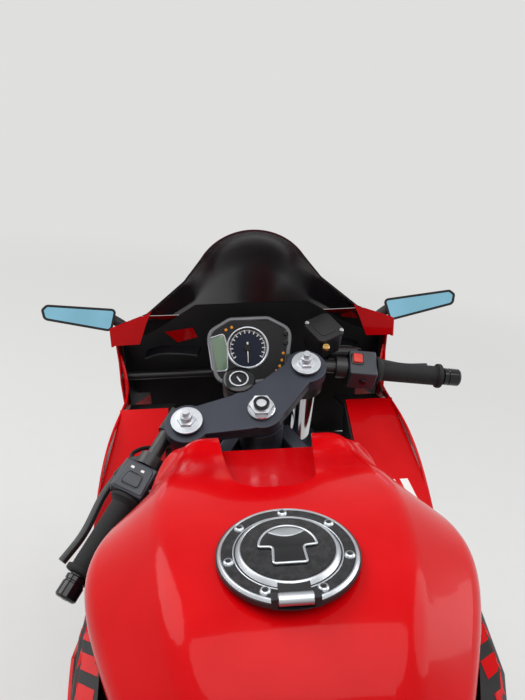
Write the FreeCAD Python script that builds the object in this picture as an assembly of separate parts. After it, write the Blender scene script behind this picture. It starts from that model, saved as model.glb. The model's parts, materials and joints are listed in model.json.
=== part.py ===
import FreeCAD
import Part
import math
import os

# A mid-size sport motorcycle with a full fairing, parked on its side stand with the
# steering turned left against its stop.
#
# Every piece is drawn in the upright bike: millimetres, +X forward, +Y left, +Z up, origin on
# the ground under the rear axle. Pieces that steer are drawn in the steering head: +X forward,
# +Y left, +Z up along the steering axis, origin where the axis leaves the top yoke.
# At the end the bike is leaned on its stand and centred on the ground.

# Stance
WHEELBASE = 1390.0
RAKE = 24.0
TRAIL = 95.0
LEAN = 10.0
STEER_LOCK = 28.0
HEAD_TOP_Z = 915.0
SEAT_GAP = 0.3

# Wheels and tyres
BEAD_R = 218.0
FRONT_SIDEWALL = 82.0
REAR_SIDEWALL = 97.0
FRONT_TYRE_R = BEAD_R + FRONT_SIDEWALL
FRONT_TYRE_HALF = 60.0
FRONT_BEAD_HALF = 45.0
REAR_TYRE_R = BEAD_R + REAR_SIDEWALL
REAR_TYRE_HALF = 90.0
REAR_BEAD_HALF = 72.0
RIM_WALL = 14.0
RIM_FLANGE_R = 227.0
SPOKE_COUNT = 3
FRONT_DISC_R = 155.0
FRONT_DISC_T = 5.0
REAR_DISC_R = 110.0
DISC_BAND = 32.0
HUB_R = 40.0
SPIGOT_R = 30.0
FRONT_HUB_HALF = 50.0
REAR_HUB_HALF = 62.0
AXLE_R = 12.0
AXLE_PLAY = 0.3

# Fork and yokes
FORK_HALF = 105.0
STANCHION_R = 20.5
SLIDER_R = 28.0
SLIDER_TOP_W = -345.0
TOP_YOKE_T = 22.0
LOWER_YOKE_W = -245.0
LOWER_YOKE_T = 40.0
YOKE_LOBE_R = 29.0
STEM_R = 14.0
STANCHION_RISE = 4.0

# Handlebars
BAR_R = 11.1
BAR_ROOT_U = 66.0
BAR_ROOT_V = 118.0
BAR_ROOT_W = -34.5
BAR_SWEEP = 34.0
BAR_DROP = 4.5
BAR_LENGTH = 242.0
GRIP_R = 16.5
GRIP_LENGTH = 113.0
BAR_WEIGHT_R = 14.5
BAR_WEIGHT_LENGTH = 29.0
SWITCH_LENGTH = 46.0
CLAMP_T = 26.0

# Steering head and frame
HEAD_TUBE_R = 34.0
SPAR_HALF_T = 14.0
PIVOT_X = 560.0
PIVOT_Z = 390.0
PIVOT_TUBE_R = 30.0
PLATE_IN = 70.0
PLATE_OUT = 88.0
SUBFRAME_R = 13.0

# Drive
CHAIN_PITCH = 15.875
REAR_TEETH = 43
FRONT_TEETH = 16
FRONT_SPROCKET_X = 636.0
FRONT_SPROCKET_Z = 408.0
CHAIN_Y = 105.0
CHAIN_HALF_W = 9.0
CHAIN_HALF_H = 7.5
LINK_WAIST = 1.7

# Tank
CAP_X = 715.0
CAP_TILT = 6.0
CAP_RING_R = 60.0
LID_R = 41.0
NECK_R = 24.0
NECK_DEPTH = 55.0
RING_T = 4.0

# Bodywork
WALL = 3.0
SEAM = 1.5

RAKE_R = math.radians(RAKE)
FORK_OFFSET = FRONT_TYRE_R * math.sin(RAKE_R) - TRAIL * math.cos(RAKE_R)
HEAD_X = WHEELBASE + TRAIL - HEAD_TOP_Z * math.tan(RAKE_R)
AXLE_W = -((WHEELBASE - HEAD_X) * math.sin(RAKE_R) + (HEAD_TOP_Z - FRONT_TYRE_R) * math.cos(RAKE_R))
BIG = 2000.0

V = FreeCAD.Vector
X_AXIS = V(1, 0, 0)
Y_AXIS = V(0, 1, 0)
Z_AXIS = V(0, 0, 1)


# Helpers

def on_plane(plane, a, b, c=0.0):
    """A point of a drawing plane: a and b are its two axes in X, Y, Z order, c the third."""
    if plane == "xy":
        return V(a, b, c)
    if plane == "xz":
        return V(a, c, b)
    return V(c, a, b)


def rounded_wire(points, plane, level):
    """A closed outline whose corners (a, b, radius) are rounded by tangent arcs."""
    count = len(points)
    edges = []
    ends = []
    for i in range(count):
        a, b = points[i][0], points[i][1]
        radius = points[i][2] if len(points[i]) > 2 else 0.0
        here = on_plane(plane, a, b, level)
        before = on_plane(plane, points[i - 1][0], points[i - 1][1], level)
        after = on_plane(plane, points[(i + 1) % count][0], points[(i + 1) % count][1], level)
        if radius <= 0.0:
            ends.append((here, here, None))
            continue
        to_before = (before - here).normalize()
        to_after = (after - here).normalize()
        half = to_before.getAngle(to_after) / 2.0
        reach = radius / math.tan(half)
        bisector = (to_before + to_after).normalize()
        middle = here + bisector * (radius / math.sin(half) - radius)
        ends.append((here + to_before * reach, here + to_after * reach, middle))
    for i in range(count):
        start, finish, middle = ends[i]
        if middle is not None:
            edges.append(Part.Arc(start, middle, finish).toShape())
        following = ends[(i + 1) % count][0]
        if finish.distanceToPoint(following) > 1e-6:
            edges.append(Part.LineSegment(finish, following).toShape())
    return Part.Wire(edges)


def plate(points, plane, low, high):
    """A rounded outline extruded from low to high along the plane's normal."""
    face = Part.Face(rounded_wire(points, plane, low))
    return face.extrude(on_plane(plane, 0, 0, high - low))


def rod(start, end, radius):
    """A round bar from one point to another."""
    along = end - start
    return Part.makeCylinder(radius, along.Length, start, along)


def box(x0, x1, y0, y1, z0, z1):
    """A box between two corners."""
    return Part.makeBox(x1 - x0, y1 - y0, z1 - z0, V(x0, y0, z0))


def turned(profile, centre, axis, across):
    """A closed profile of (distance along axis, radius) revolved about the axis."""
    points = [centre + axis * a + across * r for a, r in profile]
    face = Part.Face(Part.makePolygon(points + [points[0]]))
    return face.revolve(centre, axis, 360)


def loft(wires, ruled=False):
    """A solid through closed section wires."""
    return Part.makeLoft(wires, True, ruled)


def mirrored(shape):
    """The same shape on the other side of the bike."""
    return shape.mirror(V(0, 0, 0), Y_AXIS)


def pair(shape):
    """A left-hand solid and its right-hand mirror image."""
    return Part.makeCompound([shape, mirrored(shape)])


def fused(shapes):
    """One solid from several."""
    whole = shapes[0].multiFuse(shapes[1:]) if len(shapes) > 1 else shapes[0]
    return whole.removeSplitter()


def bent_path(points, share=0.45):
    """A path of straight runs joined by tangent arcs, as large as the runs allow."""
    edges = []
    last = points[0]
    for i in range(1, len(points) - 1):
        here = points[i]
        back = points[i - 1] - here
        on = points[i + 1] - here
        reach = share * min(back.Length, on.Length)
        back.normalize()
        on.normalize()
        half = back.getAngle(on) / 2.0
        radius = reach * math.tan(half)
        bisector = (back + on).normalize()
        middle = here + bisector * (radius / math.sin(half) - radius)
        start = here + back * reach
        finish = here + on * reach
        edges.append(Part.LineSegment(last, start).toShape())
        edges.append(Part.Arc(start, middle, finish).toShape())
        last = finish
    edges.append(Part.LineSegment(last, points[-1]).toShape())
    return Part.Wire(edges)


def tube(points, radius):
    """A solid round bar along a bent path."""
    path = bent_path(points)
    along = points[1] - points[0]
    section = Part.Wire([Part.makeCircle(radius, points[0], along)])
    return path.makePipeShell([section], True, False)


def spun(shape, count, centre, axis):
    """Copies of a shape spaced evenly about an axis, the first in place."""
    made = []
    for i in range(count):
        copy = shape.copy()
        copy.rotate(centre, axis, 360.0 * i / count)
        made.append(copy)
    return made


# Wheels, drawn about an axle along Y through the given centre

def make_tyre(centre, outer_r, half, bead_half):
    crown_c = outer_r - half
    step = 10.0
    p = [V(BEAD_R, bead_half, 0), V(BEAD_R + step, bead_half, 0), V(crown_c, half, 0)]
    q = [V(a.x, -a.y, 0) for a in reversed(p)]
    def at(v):
        return centre + X_AXIS * v.x + Y_AXIS * v.y
    edges = [
        Part.LineSegment(at(p[0]), at(p[1])).toShape(),
        Part.LineSegment(at(p[1]), at(p[2])).toShape(),
        Part.Arc(at(p[2]), centre + X_AXIS * outer_r, at(q[0])).toShape(),
        Part.LineSegment(at(q[0]), at(q[1])).toShape(),
        Part.LineSegment(at(q[1]), at(q[2])).toShape(),
        Part.LineSegment(at(q[2]), at(p[0])).toShape(),
    ]
    return Part.Face(Part.Wire(edges)).revolve(centre, Y_AXIS, 360)


def make_rim(centre, bead_half, hub_half, spigot_half, spoke_half, first_angle):
    seat_r = BEAD_R - SEAT_GAP
    lip = bead_half + SEAT_GAP
    outer = lip + 5.0
    well = 12.0
    barrel = turned(
        [(-outer, RIM_FLANGE_R), (-lip, RIM_FLANGE_R), (-lip, seat_r), (lip, seat_r), (lip, RIM_FLANGE_R),
         (outer, RIM_FLANGE_R), (outer, seat_r - RIM_WALL / 2), (bead_half - well, seat_r - RIM_WALL),
         (well - bead_half, seat_r - RIM_WALL), (-outer, seat_r - RIM_WALL / 2)],
        centre, Y_AXIS, X_AXIS)
    hub = turned(
        [(-spigot_half, SPIGOT_R), (-hub_half, SPIGOT_R), (-hub_half, HUB_R), (hub_half, HUB_R),
         (hub_half, SPIGOT_R), (spigot_half, SPIGOT_R), (spigot_half, AXLE_R + AXLE_PLAY),
         (-spigot_half, AXLE_R + AXLE_PLAY)],
        centre, Y_AXIS, X_AXIS)
    reach = seat_r - RIM_WALL / 2
    arm = plate(
        [(HUB_R * 0.4, -34), (reach, -62), (reach, 62), (HUB_R * 0.4, 34)],
        "xz", -spoke_half, spoke_half)
    window = plate(
        [(88, 0, 8), (reach - 26, -36, 12), (reach - 26, 36, 12)], "xz", -spoke_half - 1, spoke_half + 1)
    arm = arm.cut(window)
    arm.rotate(V(0, 0, 0), Y_AXIS, first_angle)
    arm.translate(centre)
    keep = Part.makeCylinder(reach, 2 * spoke_half, centre - Y_AXIS * spoke_half, Y_AXIS)
    bore = Part.makeCylinder(AXLE_R + AXLE_PLAY, 2 * spoke_half + 2, centre - Y_AXIS * (spoke_half + 1), Y_AXIS)
    arms = [a.common(keep).cut(bore) for a in spun(arm, SPOKE_COUNT, centre, Y_AXIS)]
    return fused([barrel, hub] + arms)


def make_carrier():
    """The sprocket carrier on the rear hub's left side."""
    face = CHAIN_Y - 3 - SEAT_GAP
    profile = [(REAR_HUB_HALF - 2, AXLE_R + AXLE_PLAY), (REAR_HUB_HALF - 2, 66), (face, 58), (face, SPIGOT_R),
               (face + 8, SPIGOT_R), (face + 8, AXLE_R + AXLE_PLAY)]
    return turned(profile, V(0, 0, REAR_TYRE_R), Y_AXIS, X_AXIS)


def make_disc(centre, inner_y, outer_r, thick, side):
    """A brake disc with a windowed carrier, bored for the hub's spigot."""
    y0, y1 = sorted((side * inner_y, side * (inner_y + thick)))
    start = centre + Y_AXIS * y0
    disc = Part.makeCylinder(outer_r, y1 - y0, start, Y_AXIS)
    disc = disc.cut(Part.makeCylinder(SPIGOT_R + SEAT_GAP, y1 - y0, start, Y_AXIS))
    band_in = outer_r - DISC_BAND
    window = plate(
        [(HUB_R + 12, -7, 4), (band_in - 6, -20, 6), (band_in - 6, 20, 6), (HUB_R + 12, 7, 4)],
        "xz", y0 - 1, y1 + 1)
    window.translate(V(centre.x, 0, centre.z))
    for w in spun(window, 6, centre, Y_AXIS):
        disc = disc.cut(w)
    return disc


# Steering pieces, drawn in the steering head

def fork_axis(side, w):
    return V(FORK_OFFSET, side * FORK_HALF, w)


def make_yoke(top_w, thick, lobe_r, hole_r, stem_r, nose, front):
    """A triple clamp: two fork lobes and a stem lobe joined by waisted arms."""
    low = top_w - thick
    lobes = [Part.makeCylinder(lobe_r + 4, thick, fork_axis(s, low), Z_AXIS) for s in (1, -1)]
    lobes.append(Part.makeCylinder(nose, thick, V(0, 0, low), Z_AXIS))
    arm = plate(
        [(FORK_OFFSET + lobe_r - 3, FORK_HALF, 0), (FORK_OFFSET - lobe_r + 5, FORK_HALF, 0),
         (-20, 34, 10), (-nose + 2, 0, 0), (-nose + 2, -1, 0), (-20, -34, 10),
         (FORK_OFFSET - lobe_r + 5, -FORK_HALF, 0), (FORK_OFFSET + lobe_r - 3, -FORK_HALF, 0),
         (front, -26, 14), (front, 26, 14)],
        "xy", low, top_w)
    yoke = fused(lobes + [arm])
    for s in (1, -1):
        yoke = yoke.cut(Part.makeCylinder(hole_r, thick + 2, fork_axis(s, low - 1), Z_AXIS))
    if stem_r:
        yoke = yoke.cut(Part.makeCylinder(stem_r, thick + 2, V(0, 0, low - 1), Z_AXIS))
    return yoke


def make_top_yoke():
    return make_yoke(0, TOP_YOKE_T, YOKE_LOBE_R, STANCHION_R + SEAT_GAP, STEM_R + SEAT_GAP, 33, 46)


def make_lower_yoke():
    yoke = make_yoke(LOWER_YOKE_W + LOWER_YOKE_T, LOWER_YOKE_T, YOKE_LOBE_R, STANCHION_R + SEAT_GAP, 0, 36, 32)
    stem = Part.makeCylinder(STEM_R, -LOWER_YOKE_W, V(0, 0, LOWER_YOKE_W), Z_AXIS)
    return fused([yoke, stem])


def make_stanchions():
    low = SLIDER_TOP_W - 40
    return pair(Part.makeCylinder(STANCHION_R, STANCHION_RISE - low, fork_axis(1, low), Z_AXIS))


def make_sliders():
    """Lower fork legs with dust seal, axle lug and the lugs for caliper and mudguard."""
    bottom = AXLE_W
    profile = [(bottom, SLIDER_R - 4), (SLIDER_TOP_W - 70, SLIDER_R - 2), (SLIDER_TOP_W - 60, SLIDER_R + 3),
               (SLIDER_TOP_W, SLIDER_R + 3), (SLIDER_TOP_W, STANCHION_R + SEAT_GAP),
               (SLIDER_TOP_W - 40.5, STANCHION_R + SEAT_GAP), (SLIDER_TOP_W - 40.5, 0), (bottom, 0)]
    leg = turned(profile, V(FORK_OFFSET, FORK_HALF, 0), Z_AXIS, X_AXIS)
    lug = Part.makeCylinder(25, 50, V(FORK_OFFSET, FORK_HALF - 25, bottom), Y_AXIS)
    caliper_lug = box(FORK_OFFSET - 52, FORK_OFFSET - 10, FORK_HALF - 24, FORK_HALF - 6, bottom + 62, bottom + 150)
    leg = fused([leg, lug, caliper_lug])
    leg = leg.cut(Part.makeCylinder(AXLE_R + SEAT_GAP, 60, V(FORK_OFFSET, FORK_HALF - 30, bottom), Y_AXIS))
    return pair(leg)


def make_front_axle():
    centre = V(FORK_OFFSET, 0, AXLE_W)
    half = FORK_HALF + 27
    lug_in = FORK_HALF - 25 - SEAT_GAP
    collar_in = FRONT_HUB_HALF + 13
    axle = turned(
        [(-half, AXLE_R - 4), (-half, AXLE_R), (-lug_in, AXLE_R), (-lug_in, AXLE_R + 5), (-collar_in, AXLE_R + 5),
         (-collar_in, AXLE_R), (collar_in, AXLE_R), (collar_in, AXLE_R + 5), (lug_in, AXLE_R + 5),
         (lug_in, AXLE_R), (half, AXLE_R), (half, AXLE_R - 4)],
        centre, Y_AXIS, X_AXIS)
    return axle


def hexagon(across_flats, centre, height):
    r = across_flats / math.sqrt(3.0)
    points = [V(centre.x + r * math.cos(math.radians(60 * i)), centre.y + r * math.sin(math.radians(60 * i)), centre.z)
              for i in range(6)]
    return Part.Face(Part.makePolygon(points + [points[0]])).extrude(V(0, 0, height))


def make_yoke_caps():
    """Fork caps with hexagon and adjuster, and the stem nut on its washer."""
    base = fork_axis(1, STANCHION_RISE)
    cap = fused([Part.makeCylinder(23, 4, base, Z_AXIS), hexagon(24, base + V(0, 0, 4), 5),
                 Part.makeCylinder(9, 14, base + V(0, 0, 4), Z_AXIS), Part.makeCylinder(5.5, 22, base + V(0, 0, 4), Z_AXIS)])
    nut = fused([Part.makeCylinder(20, 3, V(0, 0, 0), Z_AXIS), hexagon(32, V(0, 0, 3), 10),
                 Part.makeCylinder(12, 13, V(0, 0, 3), Z_AXIS)])
    return Part.makeCompound([cap, mirrored(cap), nut])


def make_ignition():
    centre = V(66, 0, 0)
    barrel = turned([(-72, 0), (-72, 20), (-30, 22), (-30, 26), (-4, 26), (0, 22), (0, 11), (-3, 11), (-3, 0)],
                    centre, Z_AXIS, X_AXIS)
    return barrel


def bar_direction(side):
    s, d = math.radians(BAR_SWEEP), math.radians(BAR_DROP)
    return V(-math.sin(s) * math.cos(d), side * math.cos(s) * math.cos(d), -math.sin(d))


def bar_point(side, along):
    return V(BAR_ROOT_U, side * BAR_ROOT_V, BAR_ROOT_W) + bar_direction(side) * along


def make_clip_ons():
    """Clamps on the stanchions just under the top yoke, each with its bar."""
    top = -TOP_YOKE_T - 1.0
    clamp = Part.makeCylinder(YOKE_LOBE_R + 1, CLAMP_T, fork_axis(1, top - CLAMP_T), Z_AXIS)
    bar = rod(bar_point(1, -18), bar_point(1, BAR_LENGTH), BAR_R)
    socket = rod(bar_point(1, -24), bar_point(1, 16), BAR_R + 4)
    socket = socket.common(box(-BIG, BIG, -BIG, BIG, -BIG, top))
    bar = bar.common(box(-BIG, BIG, -BIG, BIG, -BIG, top))
    whole = fused([clamp, socket, bar])
    whole = whole.cut(Part.makeCylinder(STANCHION_R + SEAT_GAP, 200, fork_axis(1, -150), Z_AXIS))
    return pair(whole)


def make_grips():
    """Rubber grips with an inner flange and an outer ring, and the bar-end weights."""
    start = grip_start()
    d = bar_direction(1)
    across = d.cross(Z_AXIS).normalize()
    grip = turned([(start, BAR_R + SEAT_GAP), (start, 23), (start + 6, 22), (start + 14, GRIP_R),
                   (start + GRIP_LENGTH - 9, GRIP_R), (start + GRIP_LENGTH - 8, 20.5),
                   (start + GRIP_LENGTH - 2, 20.5), (start + GRIP_LENGTH, GRIP_R),
                   (start + GRIP_LENGTH, BAR_R + SEAT_GAP)],
                  V(BAR_ROOT_U, BAR_ROOT_V, BAR_ROOT_W), d, across)
    end = BAR_LENGTH + SEAT_GAP
    weight = turned([(end, 0), (end, BAR_WEIGHT_R), (end + BAR_WEIGHT_LENGTH - 3, BAR_WEIGHT_R),
                     (end + BAR_WEIGHT_LENGTH, BAR_WEIGHT_R - 3), (end + BAR_WEIGHT_LENGTH, 0)],
                    V(BAR_ROOT_U, BAR_ROOT_V, BAR_ROOT_W), d, across)
    return Part.makeCompound([grip, mirrored(grip), weight, mirrored(weight)])


def grip_start():
    return BAR_LENGTH - GRIP_LENGTH - 2


def bar_block(side, start, length, half_w, up, down):
    """A housing clamped on the bar, its section wider than tall, bored for the bar."""
    d = bar_direction(1)
    u = d.cross(Z_AXIS).normalize()
    w = u.cross(d).normalize()
    origin = bar_point(1, start)
    corners = [(-half_w, -down), (half_w * 0.9, -down), (half_w * 1.15, 0), (half_w * 0.9, up), (-half_w, up * 0.8)]
    points = [origin + u * a + w * b for a, b in corners]
    block = Part.Face(Part.makePolygon(points + [points[0]])).extrude(d * length)
    block = block.makeFillet(3.0, block.Edges)
    block = block.cut(rod(bar_point(1, start - 5), bar_point(1, start + length + 5), BAR_R + SEAT_GAP))
    return block if side > 0 else mirrored(block)


def make_switchgear():
    start = grip_start() - 1 - SWITCH_LENGTH
    left = bar_block(1, start, SWITCH_LENGTH, 26, 24, 22)
    right = bar_block(-1, start, SWITCH_LENGTH, 25, 22, 22)
    return Part.makeCompound([left, right])


def make_hand_levers():
    """Clutch perch with lever on the left, brake master cylinder with lever on the right."""
    d = bar_direction(1)
    u = d.cross(Z_AXIS).normalize()
    w = u.cross(d).normalize()
    perch_start = grip_start() - 2 - SWITCH_LENGTH - 20
    ring = rod(bar_point(1, perch_start), bar_point(1, perch_start + 18), BAR_R + 7)
    def at(along, forward, up):
        return bar_point(1, along) + u * forward + w * up
    mount = tube([at(perch_start + 9, 12, -4), at(perch_start + 12, 32, -16), at(perch_start + 40, 41, -22)], 8)
    blade = tube([at(perch_start + 36, 41, -22), at(perch_start + 70, 46, -26), at(perch_start + 130, 38, -28),
                  at(perch_start + 172, 44, -28)], 6)
    lever = fused([ring, mount, blade])
    lever = lever.cut(rod(bar_point(1, perch_start - 5), bar_point(1, perch_start + 25), BAR_R + SEAT_GAP))
    cylinder = rod(at(perch_start - 10, 36, -6), at(perch_start + 40, 44, -10), 12)
    cup = plate([(54, 148, 10), (54, 196, 10), (106, 196, 10), (106, 148, 10)], "xy", -30, 12)
    neck = rod(V(70, 180, -46), V(70, 180, -28), 9)
    brake = mirrored(fused([lever, cylinder, neck, cup]))
    return Part.makeCompound([lever, brake])


def make_calipers():
    """Four-piston calipers astride the discs, bolted to the sliders' rear lugs."""
    disc_in = FRONT_HUB_HALF + SEAT_GAP
    y0, y1 = disc_in - 24, FORK_HALF - 24
    block = plate([(-40, 70, 8), (-50, 172, 14), (-112, 140, 14), (-92, 66, 14)], "xz", y0, y1)
    block.translate(V(FORK_OFFSET, 0, AXLE_W))
    slot = Part.makeCylinder(FRONT_DISC_R + 6, FRONT_DISC_T + 4, V(FORK_OFFSET, disc_in - 2, AXLE_W), Y_AXIS)
    block = block.cut(slot)
    arm = box(FORK_OFFSET - 60, FORK_OFFSET - 52, FORK_HALF - 24.0, FORK_HALF - 6,
              AXLE_W + 70, AXLE_W + 140)
    return pair(fused([block, arm]))


def make_front_mudguard():
    """A curved guard close to the tyre with stays to the sliders."""
    centre = V(FORK_OFFSET, 0, AXLE_W)
    inner_r = FRONT_TYRE_R + 9
    half = 66.0
    def hoop(grow):
        r = inner_r + grow
        h = half + grow
        wire = Part.Wire([
            Part.Arc(centre + V(0, h, r - 62), centre + V(0, 0, r), centre + V(0, -h, r - 62)).toShape(),
            Part.LineSegment(centre + V(0, -h, r - 62), centre + V(0, -h, r - 90)).toShape(),
            Part.LineSegment(centre + V(0, -h, r - 90), centre + V(0, h, r - 90)).toShape(),
            Part.LineSegment(centre + V(0, h, r - 90), centre + V(0, h, r - 62)).toShape(),
        ])
        ring = Part.Face(wire).revolve(centre, Y_AXIS, 105)
        ring.rotate(centre, Y_AXIS, -78)
        return ring
    guard = hoop(WALL).cut(hoop(0))
    slot = Part.makeCylinder(inner_r - 84, 300, centre - Y_AXIS * 150, Y_AXIS)
    guard = guard.cut(slot)
    stay = box(FORK_OFFSET - 34, FORK_OFFSET + 26, half, FORK_HALF - 18, AXLE_W + 226, AXLE_W + 262)
    stays = [stay.cut(hoop(0)), mirrored(stay.cut(hoop(0)))]
    return fused([guard] + stays)


def make_brake_hoses():
    """Hose from the master cylinder to the lower yoke, and one down to each caliper."""
    low = LOWER_YOKE_W
    main = tube([V(108, -150, -45), V(120, -120, -60), V(112, -70, -110), V(96, -40, -170), V(FORK_OFFSET + 34, -14, low + 20)], 4)
    down = tube([V(FORK_OFFSET + 34, 30, low + 10), V(90, 60, low - 40), V(74, 74, -400), V(10, 66, -520), V(-20, 70, AXLE_W + 158)], 4)
    return Part.makeCompound([main, down, mirrored(down)])


# Frame pieces, drawn in the upright bike

def in_head(shape):
    """Puts a piece drawn in the steering head into the bike, steered straight ahead."""
    placed = shape.copy()
    placed.rotate(V(0, 0, 0), Y_AXIS, -RAKE)
    placed.translate(V(HEAD_X, 0, HEAD_TOP_Z))
    return placed


# Left spar: x of each section, half width place, centre height, half height
SPAR_STATIONS = [
    (HEAD_X + 50, 34, 792, 62),
    (HEAD_X - 68, 112, 752, 52),
    (PIVOT_X + 280, 142, 682, 48),
    (PIVOT_X + 120, 122, 588, 44),
    (PIVOT_X + 40, 84, 520, 46),
]


def make_spar(extra=0.0):
    wires = []
    for x, y, z, half in SPAR_STATIONS:
        t = SPAR_HALF_T + extra
        h = half + extra
        wires.append(rounded_wire([(y - t, z - h, 4), (y + t, z - h, 4), (y + t, z + h, 4), (y - t, z + h, 4)], "yz", x))
    return loft(wires, ruled=True)


def make_main_frame():
    """Twin spars from the steering head to the swingarm pivot plates."""
    top, low = -TOP_YOKE_T - 2, LOWER_YOKE_W + LOWER_YOKE_T + 2
    head = in_head(Part.makeCylinder(HEAD_TUBE_R, top - low, V(0, 0, low), Z_AXIS))
    bore = in_head(Part.makeCylinder(STEM_R + SEAT_GAP, 400, V(0, 0, -300), Z_AXIS))
    pivot = plate([(525, 560, 20), (620, 560, 20), (650, 470, 20), (618, 330, 20), (602, 224, 16), (545, 224, 16),
                   (512, 330, 20), (512, 470, 20)], "xz", PLATE_IN, PLATE_OUT)
    hole = rod(V(PIVOT_X, PLATE_IN - 5, PIVOT_Z), V(PIVOT_X, PLATE_OUT + 5, PIVOT_Z), 10 + SEAT_GAP)
    side = [make_spar(), pivot.cut(hole)]
    cross = rod(V(545, -PLATE_IN - 2, 536), V(545, PLATE_IN + 2, 536), 16)
    pad = rod(V(HEAD_X - 78, 114, 780), V(HEAD_X - 78, 114, 850), 12).cut(make_tank_blank(SEAT_GAP))
    side.append(pad.common(box(HEAD_X - 178, HEAD_X + 22, 0, 200, 0, 832)))
    frame = fused([head] + side + [mirrored(s) for s in side] + [cross])
    frame = frame.cut(rod(V(FRONT_SPROCKET_X, -100, FRONT_SPROCKET_Z), V(FRONT_SPROCKET_X, 100, FRONT_SPROCKET_Z), 26))
    return frame.cut(bore)


def make_subframe():
    """Seat rails from the pivot plates back to the tail, with cross tubes."""
    rail = tube([V(PIVOT_X - 2, 79, 565), V(500, 79, 610), V(330, 84, 720), V(120, 88, 800), V(-60, 74, 848)], SUBFRAME_R)
    hoop = tube([V(120, 88, 800), V(120, 60, 838), V(120, -60, 838), V(120, -88, 800)], 8)
    posts = [rod(V(340, 86, 718), V(340, 86, 810), 8).cut(make_rider_seat()),
             rod(V(30, 82, 826), V(30, 62, 905), 6).common(make_tail_solid(WALL + SEAT_GAP, 100))]
    return fused([rail, mirrored(rail), *posts, *[mirrored(post) for post in posts], rod(V(362, -84, 699), V(362, 84, 699), 9),
             rod(V(500, -79, 610), V(500, 79, 610), 11), hoop])


def make_engine():
    """One block: sump, crankcase, gearbox, forward-leaning cylinders and head, with side covers."""
    gearbox = plate([(596, 250, 20), (596, 480, 20), (740, 500, 20), (740, 230, 20)], "xz", -66, 66)
    crankcase = plate([(715, 232, 30), (715, 470, 20), (960, 470, 20), (960, 300, 40), (900, 232, 20)], "xz", -150, 150)
    sump = plate([(650, 165, 20), (650, 250), (900, 250), (880, 165, 20)], "xz", -80, 80)
    cylinders = plate([(760, 440, 0), (800, 610, 0), (985, 560, 0), (950, 440, 0)], "xz", -146, 146)
    head = plate([(796, 600, 10), (808, 690, 20), (960, 660, 20), (985, 560, 10)], "xz", -156, 156)
    covers = [
        Part.makeCylinder(78, 28, V(845, 149, 352), Y_AXIS),
        Part.makeCylinder(86, 30, V(800, -179, 352), Y_AXIS),
        Part.makeCylinder(52, 24, V(900, -172, 330), Y_AXIS),
        rod(V(FRONT_SPROCKET_X, 60, FRONT_SPROCKET_Z), V(FRONT_SPROCKET_X, 114, FRONT_SPROCKET_Z), 12 - SEAT_GAP),
    ]
    return fused([gearbox, crankcase, sump, cylinders, head] + covers)


def make_exhaust():
    """Four headers down the front, a collector under the sump and the mid pipe up the right side."""
    pipes = []
    for y in (-120, -42, 42, 120):
        low = y * 0.42
        pipes.append(tube([V(968, y, 610), V(1010, y, 590), V(1012, y * 0.95, 420), V(985, y * 0.7, 202), V(900, low, 145),
                           V(800, low, 145)], 17))
    collector = plate([(640, 128, 10), (640, 163, 10), (812, 163, 10), (812, 128, 10)], "xz", -72, 72)
    mid = tube([V(670, -50, 147), V(600, -85, 150), V(525, -124, 178), V(505, -124, 260), V(505, -124, 515),
                V(440, -84, 585), V(340, -20, 656), V(292, 0, 734), V(247, 0, 750)], 20)
    return fused(pipes + [collector, mid])


def make_silencer():
    """Under-seat silencer, oval in section, with its outlet at the tail."""
    # x, half width, half height, centre z
    stations = [(248, 44, 26, 750), (150, 56, 40, 772), (-60, 54, 38, 822), (-200, 44, 30, 852)]
    wires = []
    for x, w, h, z in stations:
        wires.append(rounded_wire([(-w, z - h, h * 0.8), (w, z - h, h * 0.8), (w, z + h, h * 0.8), (-w, z + h, h * 0.8)],
                                  "yz", x))
    body = loft(wires)
    return body.cut(rod(V(-170, 0, 846), V(-230, 0, 859), 20))


def make_radiator():
    x = HEAD_X - 42
    core = plate([(x, 452, 6), (x + 22, 452, 6), (x + 38, 690, 6), (x + 16, 690, 6)], "xz", -160, 160)
    tanks = plate([(x - 4, 446, 6), (x + 26, 446, 6), (x + 42, 696, 6), (x + 12, 696, 6)], "xz", 160, 182)
    lug = rod(V(x + 26, 88, 684), V(x + 4, 88, 740), 6).cut(make_spar(SEAT_GAP))
    lug = lug.common(box(x - 36, x + 64, 0, 200, 600, 716))
    return fused([core, tanks, mirrored(tanks), lug, mirrored(lug)])


def make_swingarm():
    """Pivot tube, bridge and two box arms outside the chain run to the rear axle."""
    tube_shape = rod(V(PIVOT_X, -PLATE_IN + 2, PIVOT_Z), V(PIVOT_X, PLATE_IN - 2, PIVOT_Z), PIVOT_TUBE_R)
    bridge = box(PIVOT_X - 120, PIVOT_X, -64, 64, PIVOT_Z - 28, PIVOT_Z + 24)
    # x, inner y, outer y, depth below and height above the line from axle to pivot
    stations = [(PIVOT_X - 60, 30, 64, 32, 32), (PIVOT_X - 120, 48, 92, 30, 40), (PIVOT_X - 190, 106, 142, 34, 53),
                (200, 118, 146, 26, 62), (-34, 118, 142, 22, 34)]
    wires = []
    for x, inner, outer, below, above in stations:
        line = REAR_TYRE_R + (PIVOT_Z - REAR_TYRE_R) * x / PIVOT_X
        z0, z1 = line - below, line + above
        wires.append(rounded_wire([(inner, z0, 5), (outer, z0, 5), (outer, z1, 5), (inner, z1, 5)], "yz", x))
    arm = loft(wires, ruled=True)
    whole = fused([tube_shape, bridge, arm, mirrored(arm)])
    whole = whole.cut(rod(V(0, -160, REAR_TYRE_R), V(0, 160, REAR_TYRE_R), AXLE_R + SEAT_GAP))
    return whole.cut(rod(V(PIVOT_X, -90, PIVOT_Z), V(PIVOT_X, 90, PIVOT_Z), 10 + SEAT_GAP))


def make_pivot_bolt():
    return rod(V(PIVOT_X, -PLATE_OUT - 6, PIVOT_Z), V(PIVOT_X, PLATE_OUT + 6, PIVOT_Z), 10)


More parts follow.
